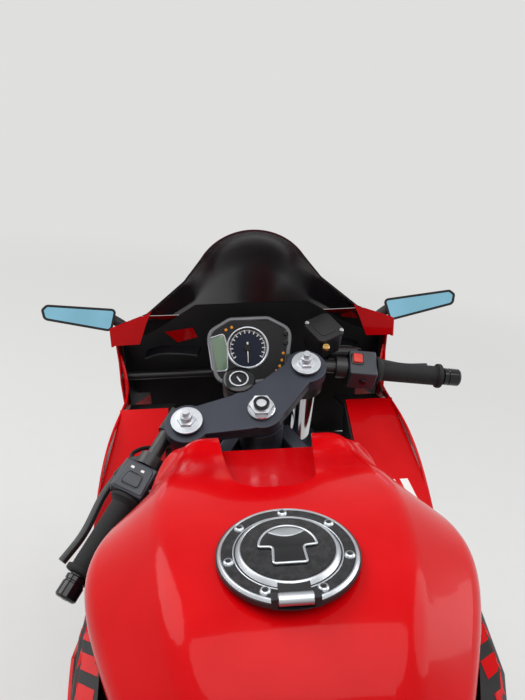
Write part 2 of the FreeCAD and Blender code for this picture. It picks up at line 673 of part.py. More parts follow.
def make_rear_axle():
    half = 142 + 10
    return rod(V(0, -half, REAR_TYRE_R), V(0, half, REAR_TYRE_R), AXLE_R)


def sprocket_pitch_r(teeth):
    return CHAIN_PITCH / (2 * math.sin(math.pi / teeth))


def make_sprocket(teeth, centre, bore):
    """A toothed plate, its tips kept clear of the chain's rollers."""
    r = sprocket_pitch_r(teeth)
    tip, root = r - 6.5, r - 10.0
    points = []
    for i in range(teeth):
        for share, radius in ((0.0, root), (0.25, root), (0.45, tip), (0.8, tip)):
            a = 2 * math.pi * (i + share) / teeth
            points.append(V(centre.x + radius * math.cos(a), centre.y - 3, centre.z + radius * math.sin(a)))
    blank = Part.Face(Part.makePolygon(points + [points[0]])).extrude(V(0, 6, 0))
    return blank.cut(Part.makeCylinder(bore, 10, V(centre.x, centre.y - 5, centre.z), Y_AXIS))


def chain_loop(offset, y0, y1):
    """The belt-shaped solid around both sprockets at a distance from the pitch line."""
    ra = sprocket_pitch_r(REAR_TEETH) + offset
    rb = sprocket_pitch_r(FRONT_TEETH) + offset
    a = V(0, y0, REAR_TYRE_R)
    b = V(FRONT_SPROCKET_X, y0, FRONT_SPROCKET_Z)
    line = math.atan2(b.z - a.z, b.x - a.x)
    open_angle = math.acos((ra - rb) / (b - a).Length)
    def at(c, r, angle):
        return V(c.x + r * math.cos(angle), y0, c.z + r * math.sin(angle))
    up, down = line + open_angle, line - open_angle
    edges = [
        Part.LineSegment(at(a, ra, up), at(b, rb, up)).toShape(),
        Part.Arc(at(b, rb, up), at(b, rb, line), at(b, rb, down)).toShape(),
        Part.LineSegment(at(b, rb, down), at(a, ra, down)).toShape(),
        Part.Arc(at(a, ra, down), at(a, ra, line + math.pi), at(a, ra, up)).toShape(),
    ]
    return Part.Face(Part.Wire(edges)).extrude(V(0, y1 - y0, 0))


def chain_places():
    """Each pin's and each mid link's place on the pitch line with the way outwards, pins first."""
    ra, rb = sprocket_pitch_r(REAR_TEETH), sprocket_pitch_r(FRONT_TEETH)
    a, b = V(0, 0, REAR_TYRE_R), V(FRONT_SPROCKET_X, 0, FRONT_SPROCKET_Z)
    line = math.atan2(b.z - a.z, b.x - a.x)
    up = math.acos((ra - rb) / (b - a).Length)
    run = math.sqrt((b - a).Length ** 2 - (ra - rb) ** 2)
    front, rear = rb * 2 * up, ra * 2 * (math.pi - up)
    length = 2 * run + front + rear
    links = 2 * round(length / CHAIN_PITCH / 2)

    def at(way):
        """The place this far along: top run forwards, front arc, lower run backwards, rear arc."""
        if way < run:
            out = V(math.cos(line + up), 0, math.sin(line + up))
            return a + out * ra + V(out.z, 0, -out.x) * way, out
        if way < run + front:
            angle = line + up - (way - run) / rb
            out = V(math.cos(angle), 0, math.sin(angle))
            return b + out * rb, out
        if way < 2 * run + front:
            out = V(math.cos(line - up), 0, math.sin(line - up))
            return b + out * rb + V(out.z, 0, -out.x) * (way - run - front), out
        angle = line - up - (way - 2 * run - front) / ra
        out = V(math.cos(angle), 0, math.sin(angle))
        return a + out * ra, out

    step = length / links
    return [at(step * i) for i in range(links)], [at(step * (i + 0.5)) for i in range(links)]


def chain_outline(side, y):
    """A row of link ends, one arc over each pin, on the outer (1) or inner (-1) side."""
    pins, waists = chain_places()
    shift = V(0, y, 0)
    edges = []
    for i, (pin, out) in enumerate(pins):
        before, after = waists[i - 1], waists[i]
        ends = [p + o * side * (CHAIN_HALF_H - LINK_WAIST) + shift for p, o in (before, after)]
        edges.append(Part.Arc(ends[0], pin + out * side * CHAIN_HALF_H + shift, ends[1]).toShape())
    return Part.Face(Part.Wire(edges))


def make_chain():
    """One solid for the closed chain: waisted link plates with a groove between them for the teeth."""
    y0, y1 = CHAIN_Y - CHAIN_HALF_W, CHAIN_Y + CHAIN_HALF_W
    plates = chain_outline(1, y0).extrude(V(0, y1 - y0, 0)).cut(chain_outline(-1, y0 - 1).extrude(V(0, y1 - y0 + 2, 0)))
    groove = chain_loop(CHAIN_HALF_H + 1, CHAIN_Y - 3.5, CHAIN_Y + 3.5).cut(chain_loop(5, CHAIN_Y - 3.5, CHAIN_Y + 3.5))
    inside = chain_loop(-5, CHAIN_Y - 3.5, CHAIN_Y + 3.5).cut(chain_loop(-CHAIN_HALF_H - 1, CHAIN_Y - 3.5, CHAIN_Y + 3.5))
    return plates.cut(groove).cut(inside)


def make_rear_brake():
    """Caliper astride the rear disc, on a bracket around the axle."""
    y_disc = -(REAR_HUB_HALF + SEAT_GAP)
    block = plate([(70, 30, 8), (70, 92, 10), (130, 60, 12), (130, 20, 10)], "xz", y_disc - 34, y_disc + 16)
    block.translate(V(0, 0, REAR_TYRE_R))
    slot = Part.makeCylinder(REAR_DISC_R + 5, FRONT_DISC_T + 4, V(0, y_disc - FRONT_DISC_T - 2, REAR_TYRE_R), Y_AXIS)
    block = block.cut(slot)
    bracket = plate([(-20, -20, 16), (-20, 20, 16), (90, 80, 8), (110, 40, 8)], "xz", -117.5, -100)
    bracket.translate(V(0, 0, REAR_TYRE_R))
    joiner = box(76, 104, -102, y_disc - 30, REAR_TYRE_R + 42, REAR_TYRE_R + 66)
    whole = fused([block, bracket, joiner])
    return whole.cut(rod(V(0, -130, REAR_TYRE_R), V(0, -80, REAR_TYRE_R), AXLE_R + SEAT_GAP))


def make_rear_shock():
    top, low = V(498, 0, 598.7), V(498, 0, 414.3)
    along = (top - low).normalize()
    across = along.cross(Y_AXIS)
    length = (top - low).Length
    profile = [(0, 0), (0, 18)]
    coils = 6
    for i in range(coils):
        start = 14 + (length - 40) * i / coils
        step = (length - 40) / coils
        profile += [(start, 24), (start + step * 0.25, 31), (start + step * 0.6, 31), (start + step * 0.85, 24)]
    profile += [(length - 14, 24), (length - 14, 30), (length, 30), (length, 0)]
    return turned(profile, low, along, across)


# Columns: x, top z, shoulder half width, widest half width, z of widest, bottom half width, bottom z
TANK_STATIONS = [
    (HEAD_X - 55, 902, 86, 120, 862, 92, 828),
    (HEAD_X - 128, 930, 108, 160, 872, 122, 808),
    (860, 962, 116, 184, 896, 132, 766),
    (760, 983, 112, 192, 928, 124, 734),
    (700, 986, 102, 172, 928, 112, 716),
    (645, 980, 88, 144, 922, 98, 702),
    (595, 948, 68, 118, 898, 78, 694),
    (555, 884, 44, 84, 850, 60, 706),
]
RECESS_REAR_X = 822.0
RECESS_FLOOR_TILT = 23.0


def make_tank_blank(grow=0.0):
    wires = []
    for x, top, shoulder, wide, wide_z, low_half, low_z in TANK_STATIONS:
        left = [(shoulder + grow, top + grow, 30), (wide + grow, wide_z, 30), (low_half + grow, low_z - grow, 6)]
        right = [(-y, z, r) for y, z, r in reversed(left)]
        wires.append(rounded_wire(left + right, "yz", x - grow))
    return loft(wires)


def tank_top_z(x):
    """Height of the tank's top line between its stations."""
    rows = TANK_STATIONS
    for front, rear in zip(rows, rows[1:]):
        if rear[0] <= x <= front[0]:
            share = (x - rear[0]) / (front[0] - rear[0])
            return rear[1] + share * (front[1] - rear[1])
    return rows[-1][1]


CAP_Z = 987.5


def at_cap(shape):
    """Tilts a piece drawn on the cap's axis and puts it on the tank."""
    placed = shape.copy()
    placed.rotate(V(0, 0, 0), Y_AXIS, CAP_TILT)
    placed.translate(V(CAP_X, 0, CAP_Z))
    return placed


def make_fuel_tank():
    blank = make_tank_blank()
    for s in (make_spar(SEAT_GAP), mirrored(make_spar(SEAT_GAP))):
        blank = blank.cut(s)
    blank = blank.cut(at_cap(Part.makeCylinder(CAP_RING_R + SEAT_GAP, 60, V(0, 0, 0), Z_AXIS)))
    blank = blank.cut(at_cap(Part.makeCylinder(NECK_R + 3 + SEAT_GAP, NECK_DEPTH + 4, V(0, 0, -NECK_DEPTH - 4), Z_AXIS)))
    length = HEAD_X - RECESS_REAR_X
    scoop = plate([(0, -42, 36), (0, 42, 36), (length, 72, 4), (length, -72, 4)], "xy", 0, 90)
    scoop.rotate(V(0, 0, 0), Y_AXIS, RECESS_FLOOR_TILT)
    scoop.translate(V(RECESS_REAR_X, 0, tank_top_z(RECESS_REAR_X) - 3))
    return blank.cut(scoop)


LID_HINGE_X = -(CAP_RING_R - 4.0)
LID_HINGE_Z = 7.0
LID_PIN_R = 1.6


def make_filler_neck():
    """Fixed cap ring with the filler neck under it and two ears for the lid's pin."""
    ring = Part.makeCylinder(CAP_RING_R, RING_T, V(0, 0, 0), Z_AXIS)
    neck = Part.makeCylinder(NECK_R + 3, NECK_DEPTH, V(0, 0, -NECK_DEPTH), Z_AXIS)
    ears = [box(LID_HINGE_X - 4, LID_HINGE_X + 4, y, y + 5, 2, LID_HINGE_Z + 3.5) for y in (-18.5, 13.5)]
    pin = rod(V(LID_HINGE_X, -18, LID_HINGE_Z), V(LID_HINGE_X, 18, LID_HINGE_Z), LID_PIN_R)
    whole = fused([ring, neck] + ears)
    whole = whole.cut(Part.makeCylinder(LID_R + 0.6, RING_T, V(0, 0, 1.5), Z_AXIS))
    whole = whole.cut(Part.makeCylinder(NECK_R, NECK_DEPTH + 10, V(0, 0, -NECK_DEPTH + 3), Z_AXIS))
    whole = whole.cut(box(-CAP_RING_R - 5, -LID_R + 4, -13.5, 13.5, 1.0, 20))
    return at_cap(fused([whole, pin]))


def make_fuel_lid():
    """Lid with a hinge barrel at the rear and the key flap on top."""
    lid = Part.makeCylinder(LID_R, 6.5, V(0, 0, 1.8), Z_AXIS)
    arm = box(LID_HINGE_X, -LID_R + 6, -12.5, 12.5, 4.5, 8.3)
    barrel = rod(V(LID_HINGE_X, -12.5, LID_HINGE_Z), V(LID_HINGE_X, 12.5, LID_HINGE_Z), 4.4)
    flap = plate([(-20, -11, 3), (6, -8, 2), (6, -17, 2), (24, -14, 8), (24, 14, 8), (6, 17, 2), (6, 8, 2), (-20, 11, 3)],
                 "xy", 8.3, 10.3)
    whole = fused([lid, arm, barrel, flap])
    whole = whole.cut(rod(V(LID_HINGE_X, -14, LID_HINGE_Z), V(LID_HINGE_X, 14, LID_HINGE_Z), LID_PIN_R + 0.08))
    return at_cap(whole)


# Columns: x, then half width and height of the top edge, the middle and the foot on the spar
KNEE_STATIONS = [
    (PIVOT_X + 262, (196, 862), (200, 800), (134, 678)),
    (PIVOT_X + 190, (197, 872), (198, 796), (126, 640)),
    (PIVOT_X + 120, (188, 874), (186, 780), (117, 600)),
    (PIVOT_X + 84, (174, 872), (170, 770), (105, 575)),
]


def make_knee_panels():
    """Black side covers between the tank's flanks and the frame's spars."""
    wires = []
    for x, top, middle, foot in KNEE_STATIONS:
        wires.append(band([(top[0] - 24, top[1] + 3, 0), (top[0], top[1], 8), (middle[0], middle[1], 40), (foot[0], foot[1], 0)],
                          WALL, "yz", x))
    panel = loft(wires, ruled=True).cut(make_spar(SEAT_GAP)).cut(make_tank_blank(SEAT_GAP))
    return pair(max(panel.Solids, key=lambda piece: piece.Volume))


# Seats and tail

# Columns: x, half width at the top, half width at the base, top z, base z
RIDER_SEAT_STATIONS = [
    (572, 44, 58, 862, 806), (500, 66, 84, 828, 790), (400, 104, 122, 820, 780), (298, 116, 128, 832, 796)]
PILLION_SEAT_STATIONS = [(284, 86, 98, 898, 856), (150, 80, 92, 918, 874), (14, 58, 74, 938, 896)]


def make_cushion(stations):
    wires = []
    for x, top_half, low_half, top, low in stations:
        wires.append(rounded_wire([(top_half, top, 14), (low_half, low, 6), (-low_half, low, 6), (-top_half, top, 14)],
                                  "yz", x))
    return loft(wires)


def make_rider_seat():
    return make_cushion(RIDER_SEAT_STATIONS).cut(make_tank_blank(SEAT_GAP))


# Columns: x, shoulder half width, widest half width, top z, z of widest, low z
TAIL_STATIONS = [
    (296, 104, 134, 860, 812, 742),
    (150, 96, 126, 882, 838, 782),
    (0, 80, 110, 904, 868, 818),
    (-150, 56, 84, 922, 894, 852),
    (-236, 34, 54, 928, 910, 882),
]


def make_tail_solid(inset, drop):
    """The tail's outer form, or its hollow when inset; the hollow runs out below."""
    wires = []
    for x, top_half, wide, top, wide_z, low in TAIL_STATIONS:
        left = [(top_half - inset, top - inset, 12), (wide - inset, wide_z, 14), (wide - 5 - inset, low - drop, 0)]
        right = [(-y, z, r) for y, z, r in reversed(left)]
        wires.append(rounded_wire(left + right, "yz", x + inset))
    return loft(wires, ruled=True)


def make_tail_fairing():
    shell = make_tail_solid(0, 0).cut(make_tail_solid(WALL, 20))
    shell = shell.cut(box(250, 320, -90, 90, 850, 900))
    return shell


def make_pillion_seat():
    return make_cushion(PILLION_SEAT_STATIONS).cut(make_tail_solid(-SEAT_GAP, 0))


def make_tail_light():
    """A lens on the tail's end face."""
    x = TAIL_STATIONS[-1][0] - SEAT_GAP
    wires = [rounded_wire([(36, 922, 6), (48, 904, 6), (40, 886, 6), (-40, 886, 6), (-48, 904, 6), (-36, 922, 6)], "yz", x),
             rounded_wire([(26, 918, 5), (38, 904, 5), (32, 892, 5), (-32, 892, 5), (-38, 904, 5), (-26, 918, 5)], "yz", x - 16)]
    return loft(wires, ruled=True)


FLAP_TILT = 15.6
PLATE_SCREW_R = 2.5
PLATE_SCREW_Y = 34.0


def make_plate_hanger():
    """The rear mudguard: a spine under the tail with a flap and two threaded inserts for a plate."""
    spine = plate([(-206, 923.3, 0), (-206, 888, 6), (-224, 872, 10), (-300, 730, 20), (-352, 560, 1), (-358, 562, 1),
                   (-306, 736, 20), (-230, 884, 8), (-226, 923.3, 0)], "xz", -30, 30)
    flap = plate([(-303, 735, 0), (-352, 560, 0), (-357, 562, 0), (-308, 737, 0)], "xz", -98, 98)
    hanger = fused([spine, flap]).cut(make_tail_fairing())
    for y in (-PLATE_SCREW_Y, PLATE_SCREW_Y):
        start, along = plate_screw(y)
        insert = Part.makeCylinder(7, 12, start - along * 12, along)
        hanger = fused([hanger, insert]).cut(Part.makeCylinder(PLATE_SCREW_R, 40, start - along * 20, along))
    return hanger


def plate_screw(y):
    """Mouth of a screw hole on the flap and the way the screw leaves."""
    tilt = math.radians(FLAP_TILT)
    along = V(-math.cos(tilt), 0, math.sin(tilt))
    return V(-321.5, y, 690) + along * 1.5, along


# Fairings: shells drawn as bands, an outer path with a wall on its inner side

def path_inset(points, wall):
    """The path moved to its right-hand side, its corner radii changed to suit."""
    moved = []
    count = len(points)
    for i in range(count):
        a, b, r = points[i]
        normals = []
        for j, k in ((i - 1, i), (i, i + 1)):
            if j < 0 or k >= count:
                continue
            da, db = points[k][0] - points[j][0], points[k][1] - points[j][1]
            size = math.hypot(da, db)
            normals.append((db / size, -da / size))
        na = sum(n[0] for n in normals)
        nb = sum(n[1] for n in normals)
        scale = 2.0 / (na * na + nb * nb) * (len(normals) / 2.0) if len(normals) == 2 else 1.0
        turn = 0.0
        if len(normals) == 2:
            turn = normals[0][0] * normals[1][1] - normals[0][1] * normals[1][0]
        new_r = r
        if r > 0:
            new_r = r - wall if turn < 0 else r + wall
        moved.append((a + wall * na * scale, b + wall * nb * scale, max(new_r, 0.5) if r > 0 else 0))
    return moved


def band(points, wall, plane, level):
    inner = path_inset(points, wall)
    return rounded_wire(points + inner[::-1], plane, level)


# Columns: x, top z, dome radius, then half width, height and corner radius of shoulder, tip, wing edge and low point
NOSE_STATIONS = [
    (HEAD_X + 150, 1150, 108, (112, 1066, 50), (188, 1006, 8), (251, 984, 8), (254, 884, 0)),
    (HEAD_X + 212, 1118, 100, (112, 1045, 50), (184, 992, 8), (252, 966, 8), (248, 800, 0)),
    (HEAD_X + 272, 1050, 90, (106, 990, 50), (178, 948, 10), (244, 916, 10), (228, 765, 0)),
    (HEAD_X + 332, 965, 80, (92, 925, 50), (150, 900, 14), (202, 864, 14), (186, 745, 0)),
    (HEAD_X + 378, 893, 55, (66, 862, 36), (108, 850, 16), (140, 826, 16), (130, 748, 0)),
    (HEAD_X + 410, 846, 30, (40, 836, 16), (58, 832, 8), (74, 808, 10), (70, 768, 0)),
]


def dome_vertex(top, radius, shoulder):
    """Height at which the two tangents from the shoulders to a dome of this radius meet on the middle plane."""
    y, z = shoulder[:2]
    c = z - (top - radius)
    a2, a1, a0 = y * y - radius * radius, 2 * y * y * c, y * y * (c * c - radius * radius)
    return z + (math.sqrt(a1 * a1 - 4 * a2 * a0) - a1) / (2 * a2)


def nose_path(row):
    x, top, radius = row[:3]
    left = list(row[3:])
    right = [(-y, z, r) for y, z, r in left]
    return right[::-1] + [(0, dome_vertex(top, radius, row[3]), radius)] + left


def make_nose_shell(inset=0.0, wall=WALL):
    wires = []
    for row in NOSE_STATIONS:
        path = path_inset(nose_path(row), inset) if inset else nose_path(row)
        wires.append(band(path, wall, "yz", row[0]))
    return loft(wires)


def make_nose_solid():
    """The nose's outer form, closed across its open side."""
    return loft([rounded_wire(nose_path(row), "yz", row[0]) for row in NOSE_STATIONS])


# The screen's lower edge and its trailing edge, seen from the side
SCREEN_EDGE = [(HEAD_X + 194, 998), (HEAD_X + 347, 940)]
SCREEN_APEX = (HEAD_X + 162, 1146)


def screen_zone(gap):
    """The side-view region above the screen's lower edge."""
    (x0, z0), (x1, z1) = SCREEN_EDGE
    ax, az = SCREEN_APEX
    slope = (z1 - z0) / (x1 - x0)
    return plate([(x0 + gap, z0 + slope * gap + gap), (x1 + 75, z1 + slope * 75 + gap), (x1 + 75, 1400),
                  (ax - 60, 1400), (ax, az), (x0, z0 + gap)], "xz", -300, 300)


def make_windscreen():
    return make_nose_shell().common(screen_zone(0.3))


HEADLIGHT_OUTLINE = [(34, 846, 8), (118, 884, 14), (150, 876, 14), (138, 838, 16), (60, 806, 12), (30, 818, 8)]


def headlight_prism(grow):
    points = path_ring_inset(HEADLIGHT_OUTLINE, -grow)
    return plate(points, "yz", HEAD_X + 302, HEAD_X + 442)


def path_ring_inset(points, wall):
    """A closed outline moved inwards by wall (outwards when negative), drawn clockwise."""
    closed = [points[-1]] + points + [points[0]]
    return path_inset(closed, wall)[1:-1]


# Where the nose ends at the back, and where the side panels take over: x ahead of the head, z
NOSE_REAR_EDGE = [(214, 700), (214, 860), (224, 898), (226, 934), (188, 944)]


# The closed rear end of each fin: half width, z
FIN_END = [(150, 1060), (270, 1020), (270, 945), (201, 947), (186, 985)]


def nose_inside(inset):
    """What lies within the nose's outer form, an even distance in."""
    return loft([rounded_wire(path_inset(nose_path(row), inset), "yz", row[0]) for row in NOSE_STATIONS])


def make_upper_fairing():
    (x0, z0), (x1, z1) = SCREEN_EDGE
    slope = (z1 - z0) / (x1 - x0)
    front = HEAD_X + 430
    zone = plate([(x0, z0 - SEAT_GAP), (x1, z1 - SEAT_GAP), (front, z1 - SEAT_GAP + slope * (front - x1)), (front, 700)]
                 + [(HEAD_X + a, z) for a, z in NOSE_REAR_EDGE], "xz", -300, 300)
    shell = make_nose_shell().common(zone)
    left = headlight_prism(0.6)
    fin = plate(FIN_END, "yz", HEAD_X + 189, HEAD_X + 189 + WALL).common(nose_inside(WALL - 1))
    return fused([shell.cut(left).cut(mirrored(left)), fin, mirrored(fin)])


def make_headlights():
    return make_nose_shell().common(headlight_prism(0))


def make_inner_panels():
    """Black skin inside the nose, the bulkhead behind the instruments and the ducts along the decks."""
    skin = make_nose_shell(WALL + 4, 2.5)
    zone = plate([(HEAD_X + 204, 952), (HEAD_X + 214, 984), (HEAD_X + 300, 948), (HEAD_X + 300, 790), (HEAD_X + 226, 800),
                  (HEAD_X + 228, 870), (HEAD_X + 236, 898), (HEAD_X + 236, 940)], "xz", -300, 300)
    x = HEAD_X + 262
    wall = box(x, x + WALL, -300, 300, 812, 990).common(nose_inside(WALL + 6))
    low = plate([(-205, 700, 20), (205, 700, 20), (205, 830), (-205, 830)], "yz", x, x + WALL)
    nose = fused([skin.common(zone), wall, low]).cut(rod(V(HEAD_X + 226, -300, 868), V(HEAD_X + 226, 300, 868), 8 + SEAT_GAP))
    inner = DECK_INNER - SEAT_GAP
    (x0, z0), (x2, z2) = DECK_LINE[0], DECK_LINE[-1]
    sheet = plate([(x0, z0 - 6), (x2, z2 - 6), (x2, z2 - 28), (HEAD_X - 20, 705), (x0, 705)], "xz", inner - 2.5, inner)
    floor = plate([(x0, z0 - 10), (HEAD_X + 204, 818), (HEAD_X + 204, 815.5), (x0, z0 - 12.5)], "xz", inner - 2.5, 300)
    duct = fused([sheet, floor.common(side_inside(2 * WALL + 2))])
    return Part.makeCompound([nose, duct, mirrored(duct)])


def make_headlight_bowls():
    """The lamp housings just behind the lenses."""
    points = path_ring_inset(HEADLIGHT_OUTLINE, 4)
    bowl = plate(points, "yz", HEAD_X + 290, HEAD_X + 420).common(nose_inside(WALL + 1.5 * SEAT_GAP))
    return pair(bowl)


# Columns: x, then half width and height of four points from the top edge down
SIDE_STATIONS = [
    (HEAD_X + 226, (247, 915), (248, 800), (236, 690), (205, 600)),
    (HEAD_X + 102, (233, 858), (250, 780), (240, 640), (206, 470)),
    (HEAD_X - 38, (250, 796), (256, 730), (240, 560), (204, 385)),
    (PIVOT_X + 345, (243, 736), (246, 660), (236, 480), (200, 304)),
    (PIVOT_X + 250, (228, 778), (238, 640), (232, 450), (198, 304)),
    (PIVOT_X + 80, (176, 700), (204, 560), (210, 430), (190, 304)),
]
DECK_INNER = 152.0
# The deck's line under the handlebars, x and z, front to back
DECK_LINE = [(HEAD_X + 112, 860.5), (HEAD_X - 38, 794), (PIVOT_X + 345, 734)]


def side_path(row):
    return [(row[1][0], row[1][1], 0), (row[2][0], row[2][1], 40), (row[3][0], row[3][1], 60), (row[4][0], row[4][1], 0)]


def side_inside(inset):
    """What lies within the left side panel's outer face, up to a plane well above its top edge."""
    return loft([Part.makePolygon([V(row[0], 100, 250), V(row[0], row[4][0] - inset, 250), V(row[0], row[1][0] - inset, row[1][1]),
                                   V(row[0], row[1][0] - inset, row[1][1] + 60), V(row[0], 100, row[1][1] + 60),
                                   V(row[0], 100, 250)]) for row in SIDE_STATIONS], ruled=True)


def make_side_fairing():
    """The left side panel with the deck under the handlebar."""
    shell = loft([band(side_path(row), WALL, "yz", row[0]) for row in SIDE_STATIONS])
    top = [(x, z) for x, z in DECK_LINE]
    deck = plate(top + [(x, z - WALL) for x, z in reversed(top)], "xz", DECK_INNER, 300).common(side_inside(1))
    lip = plate([(x, z) for x, z in top] + [(x, z - 22) for x, z in reversed(top)], "xz", DECK_INNER, DECK_INNER + WALL)
    edge = [(HEAD_X + a - 0.6, z) for a, z in NOSE_REAR_EDGE]
    zone = plate(edge + [(HEAD_X + 60, 960), (HEAD_X - 178, 900), (PIVOT_X + 240, 800), (PIVOT_X + 100, 800), (PIVOT_X + 85, 640, 40),
                         (PIVOT_X + 140, 560, 40), (PIVOT_X + 120, 470, 60), (PIVOT_X + 88, 400, 40), (PIVOT_X + 88, 304),
                         (HEAD_X - 130, 304), (HEAD_X - 40, 340, 60), (HEAD_X + 72, 450, 60), (HEAD_X + 158, 600, 30)],
                 "xz", 100, 300)
    vent = plate([(PIVOT_X + 318, 520, 18), (PIVOT_X + 366, 640, 24), (PIVOT_X + 424, 656, 18), (PIVOT_X + 384, 530, 18)],
                 "xz", 150, 300)
    return fused([shell, deck, lip]).common(zone).cut(vent)


# Columns: x, then half width and height of three points from the top edge down to the keel
BELLY_STATIONS = [
    (PIVOT_X + 375, (200, 303.4), (188, 232), (120, 146), (60, 121)),
    (PIVOT_X + 240, (198, 303.4), (186, 215), (116, 136), (60, 115)),
    (PIVOT_X + 100, (188, 303.4), (172, 215), (108, 138), (60, 118)),
]


def make_belly_pan():
    wires = []
    for x, edge, bilge, low, keel in BELLY_STATIONS:
        left = [(edge[0], edge[1], 0), (bilge[0], bilge[1], 40), (low[0], low[1], 20), (keel[0], keel[1], 15)]
        right = [(-y, z, r) for y, z, r in left]
        wires.append(band(left + right[::-1], WALL, "yz", x))
    return loft(wires).common(box(0, BIG, -300, 300, 0, 303.4))


# Cockpit

CLUSTER_Y = 9.0
DIAL_Y = 4.0
DIAL_R = 33.0


def at_cluster(shape):
    """Puts a piece drawn flat, face up, on the instrument's place; X is up the face."""
    placed = shape.copy()
    placed.rotate(V(0, 0, 0), Y_AXIS, -66)
    placed.translate(V(HEAD_X + 154, CLUSTER_Y, 943))
    return placed


def make_instruments():
    """Instrument housing: a rounded case with a round dial and a window beside it."""
    outline = [(-56, -62, 22), (-60, 0, 0), (-56, 62, 22), (34, 76, 26), (58, 34, 24), (58, -34, 24), (34, -76, 26)]
    case = plate(outline, "xy", -46, 0)
    dial = Part.makeCylinder(DIAL_R, 5, V(4, DIAL_Y, -5), Z_AXIS)
    return at_cluster(case.cut(dial))


def make_dial_faces():
    """The dial with its needle boss."""
    centre = V(4, DIAL_Y, -5 + SEAT_GAP)
    dial = fused([Part.makeCylinder(DIAL_R - SEAT_GAP, 2, centre, Z_AXIS), Part.makeCylinder(5, 4, centre, Z_AXIS)])
    return at_cluster(dial)


def make_fairing_stay():
    """Beam from the steering head to a cross tube that carries nose, screen and mirrors."""
    beam = in_head(plate([(31, -22), (192, -18), (192, 18), (31, 22)], "xy", -150, -112))
    x = HEAD_X + 226
    cross = rod(V(x, -300, 868), V(x, 300, 868), 8).common(make_nose_solid())
    cross = cross.cut(make_nose_shell(-0.1, WALL + 0.2))
    post = rod(V(x - 14, 0, 872), V(x - 36, 0, 935), 7)
    whole = fused([beam, cross, post])
    return whole.cut(in_head(Part.makeCylinder(HEAD_TUBE_R + SEAT_GAP, 300, V(0, 0, -300), Z_AXIS))).cut(make_instruments())


# Mirror head seen from behind, left side: out and up from its middle, corner radius
MIRROR_OUTLINE = [(-58, -23, 10), (-63, 20, 8), (58, 15, 9), (66, 5, 6), (60, -13, 10)]


def make_mirror_head(inset, x0, x1):
    return plate(path_ring_inset(MIRROR_OUTLINE, inset), "yz", x0, x1)


def at_mirror(shape):
    placed = shape.copy()
    placed.rotate(V(0, 0, 0), X_AXIS, 13)
    placed.rotate(V(0, 0, 0), Y_AXIS, 20)
    placed.rotate(V(0, 0, 0), Z_AXIS, 14)
    placed.translate(V(HEAD_X + 240, 311, 985))
    return placed


def make_mirrors():
    """Blade mirrors on short arms from the fairing's wing edges."""
    back = loft([rounded_wire(path_ring_inset(MIRROR_OUTLINE, inset), "yz", x)
                 for inset, x in ((0, 0), (0, 12), (8, 26))], ruled=True)
    body = at_mirror(back.cut(make_mirror_head(4, -1, 4)))
    arm = tube([V(HEAD_X + 262, 266, 974), V(HEAD_X + 256, 236, 956), V(HEAD_X + 258, 210, 926)], 9)
    arm = arm.cut(make_nose_shell()).cut(at_mirror(make_mirror_head(4, -40, 4)))
    arm = max(arm.Solids, key=lambda piece: piece.CenterOfMass.y)
    return pair(fused([body, arm]))


def make_mirror_glass():
    return pair(at_mirror(make_mirror_head(4 + SEAT_GAP, 1, 4 - SEAT_GAP)))


def make_indicators():
    """Front indicators on the fairing's flanks and rear ones on the plate hanger."""
    x = HEAD_X + 314
    front = fused([rod(V(x, 190, 830), V(x + 6, 236, 832), 6), rod(V(x + 6, 232, 832), V(x + 14, 262, 834), 16)])
    front = front.cut(make_nose_solid()).cut(make_nose_shell(-SEAT_GAP))
    rear = fused([rod(V(-281, 24, 764), V(-292, 96, 764), 6), rod(V(-292, 92, 764), V(-292, 118, 764), 16)])
    rear = rear.cut(make_plate_hanger())
    return Part.makeCompound([front, mirrored(front), rear, mirrored(rear)])


# Feet

STAND_PIVOT = V(585, 118, 262)
STAND_FOOT = V(612, 246, 52)
STAND_FOLDED = V(-0.98, 0.18, -0.06)
STAND_PIN_R = 6.0
STAND_LEG_R = 9.0
STAND_GAP = STAND_LEG_R + 1.2


def stand_axis():
    down = (STAND_FOOT - STAND_PIVOT).normalize()
    return down.cross(STAND_FOLDED).normalize()


def make_stand_lug():
    a = stand_axis()
    lug = rod(STAND_PIVOT - a * 52, STAND_PIVOT - a * STAND_GAP, 12)
    pin = rod(STAND_PIVOT - a * 20, STAND_PIVOT + a * (STAND_GAP + 2), STAND_PIN_R)
    head = rod(STAND_PIVOT + a * STAND_GAP, STAND_PIVOT + a * (STAND_GAP + 4), 10)
    return fused([lug.cut(box(500, 700, 0, PLATE_IN, 0, 400)), pin, head])


def make_side_stand(ground):
    """Stand leg with its eye on the lug's pin and a foot plate flat on the ground."""
    a = stand_axis()
    eye = rod(STAND_PIVOT - a * STAND_LEG_R, STAND_PIVOT + a * STAND_LEG_R, 15)
    leg = rod(STAND_PIVOT, STAND_FOOT, STAND_LEG_R)
    foot = plate([(-34, -16, 10), (30, -18, 12), (30, 18, 12), (-34, 16, 10)], "xy", 0, 8)
    foot.rotate(V(0, 0, 0), X_AXIS, LEAN)
    foot.translate(V(STAND_FOOT.x, STAND_FOOT.y, ground(STAND_FOOT.y)))
    whole = fused([eye, leg, foot])
    below = box(400, 800, 0, 400, -100, 0)
    below.rotate(V(0, 0, 0), X_AXIS, LEAN)
    below.translate(V(0, 0, ground(0)))
    whole = whole.cut(below)
    return whole.cut(rod(STAND_PIVOT - a * 20, STAND_PIVOT + a * 20, STAND_PIN_R + AXLE_PLAY))


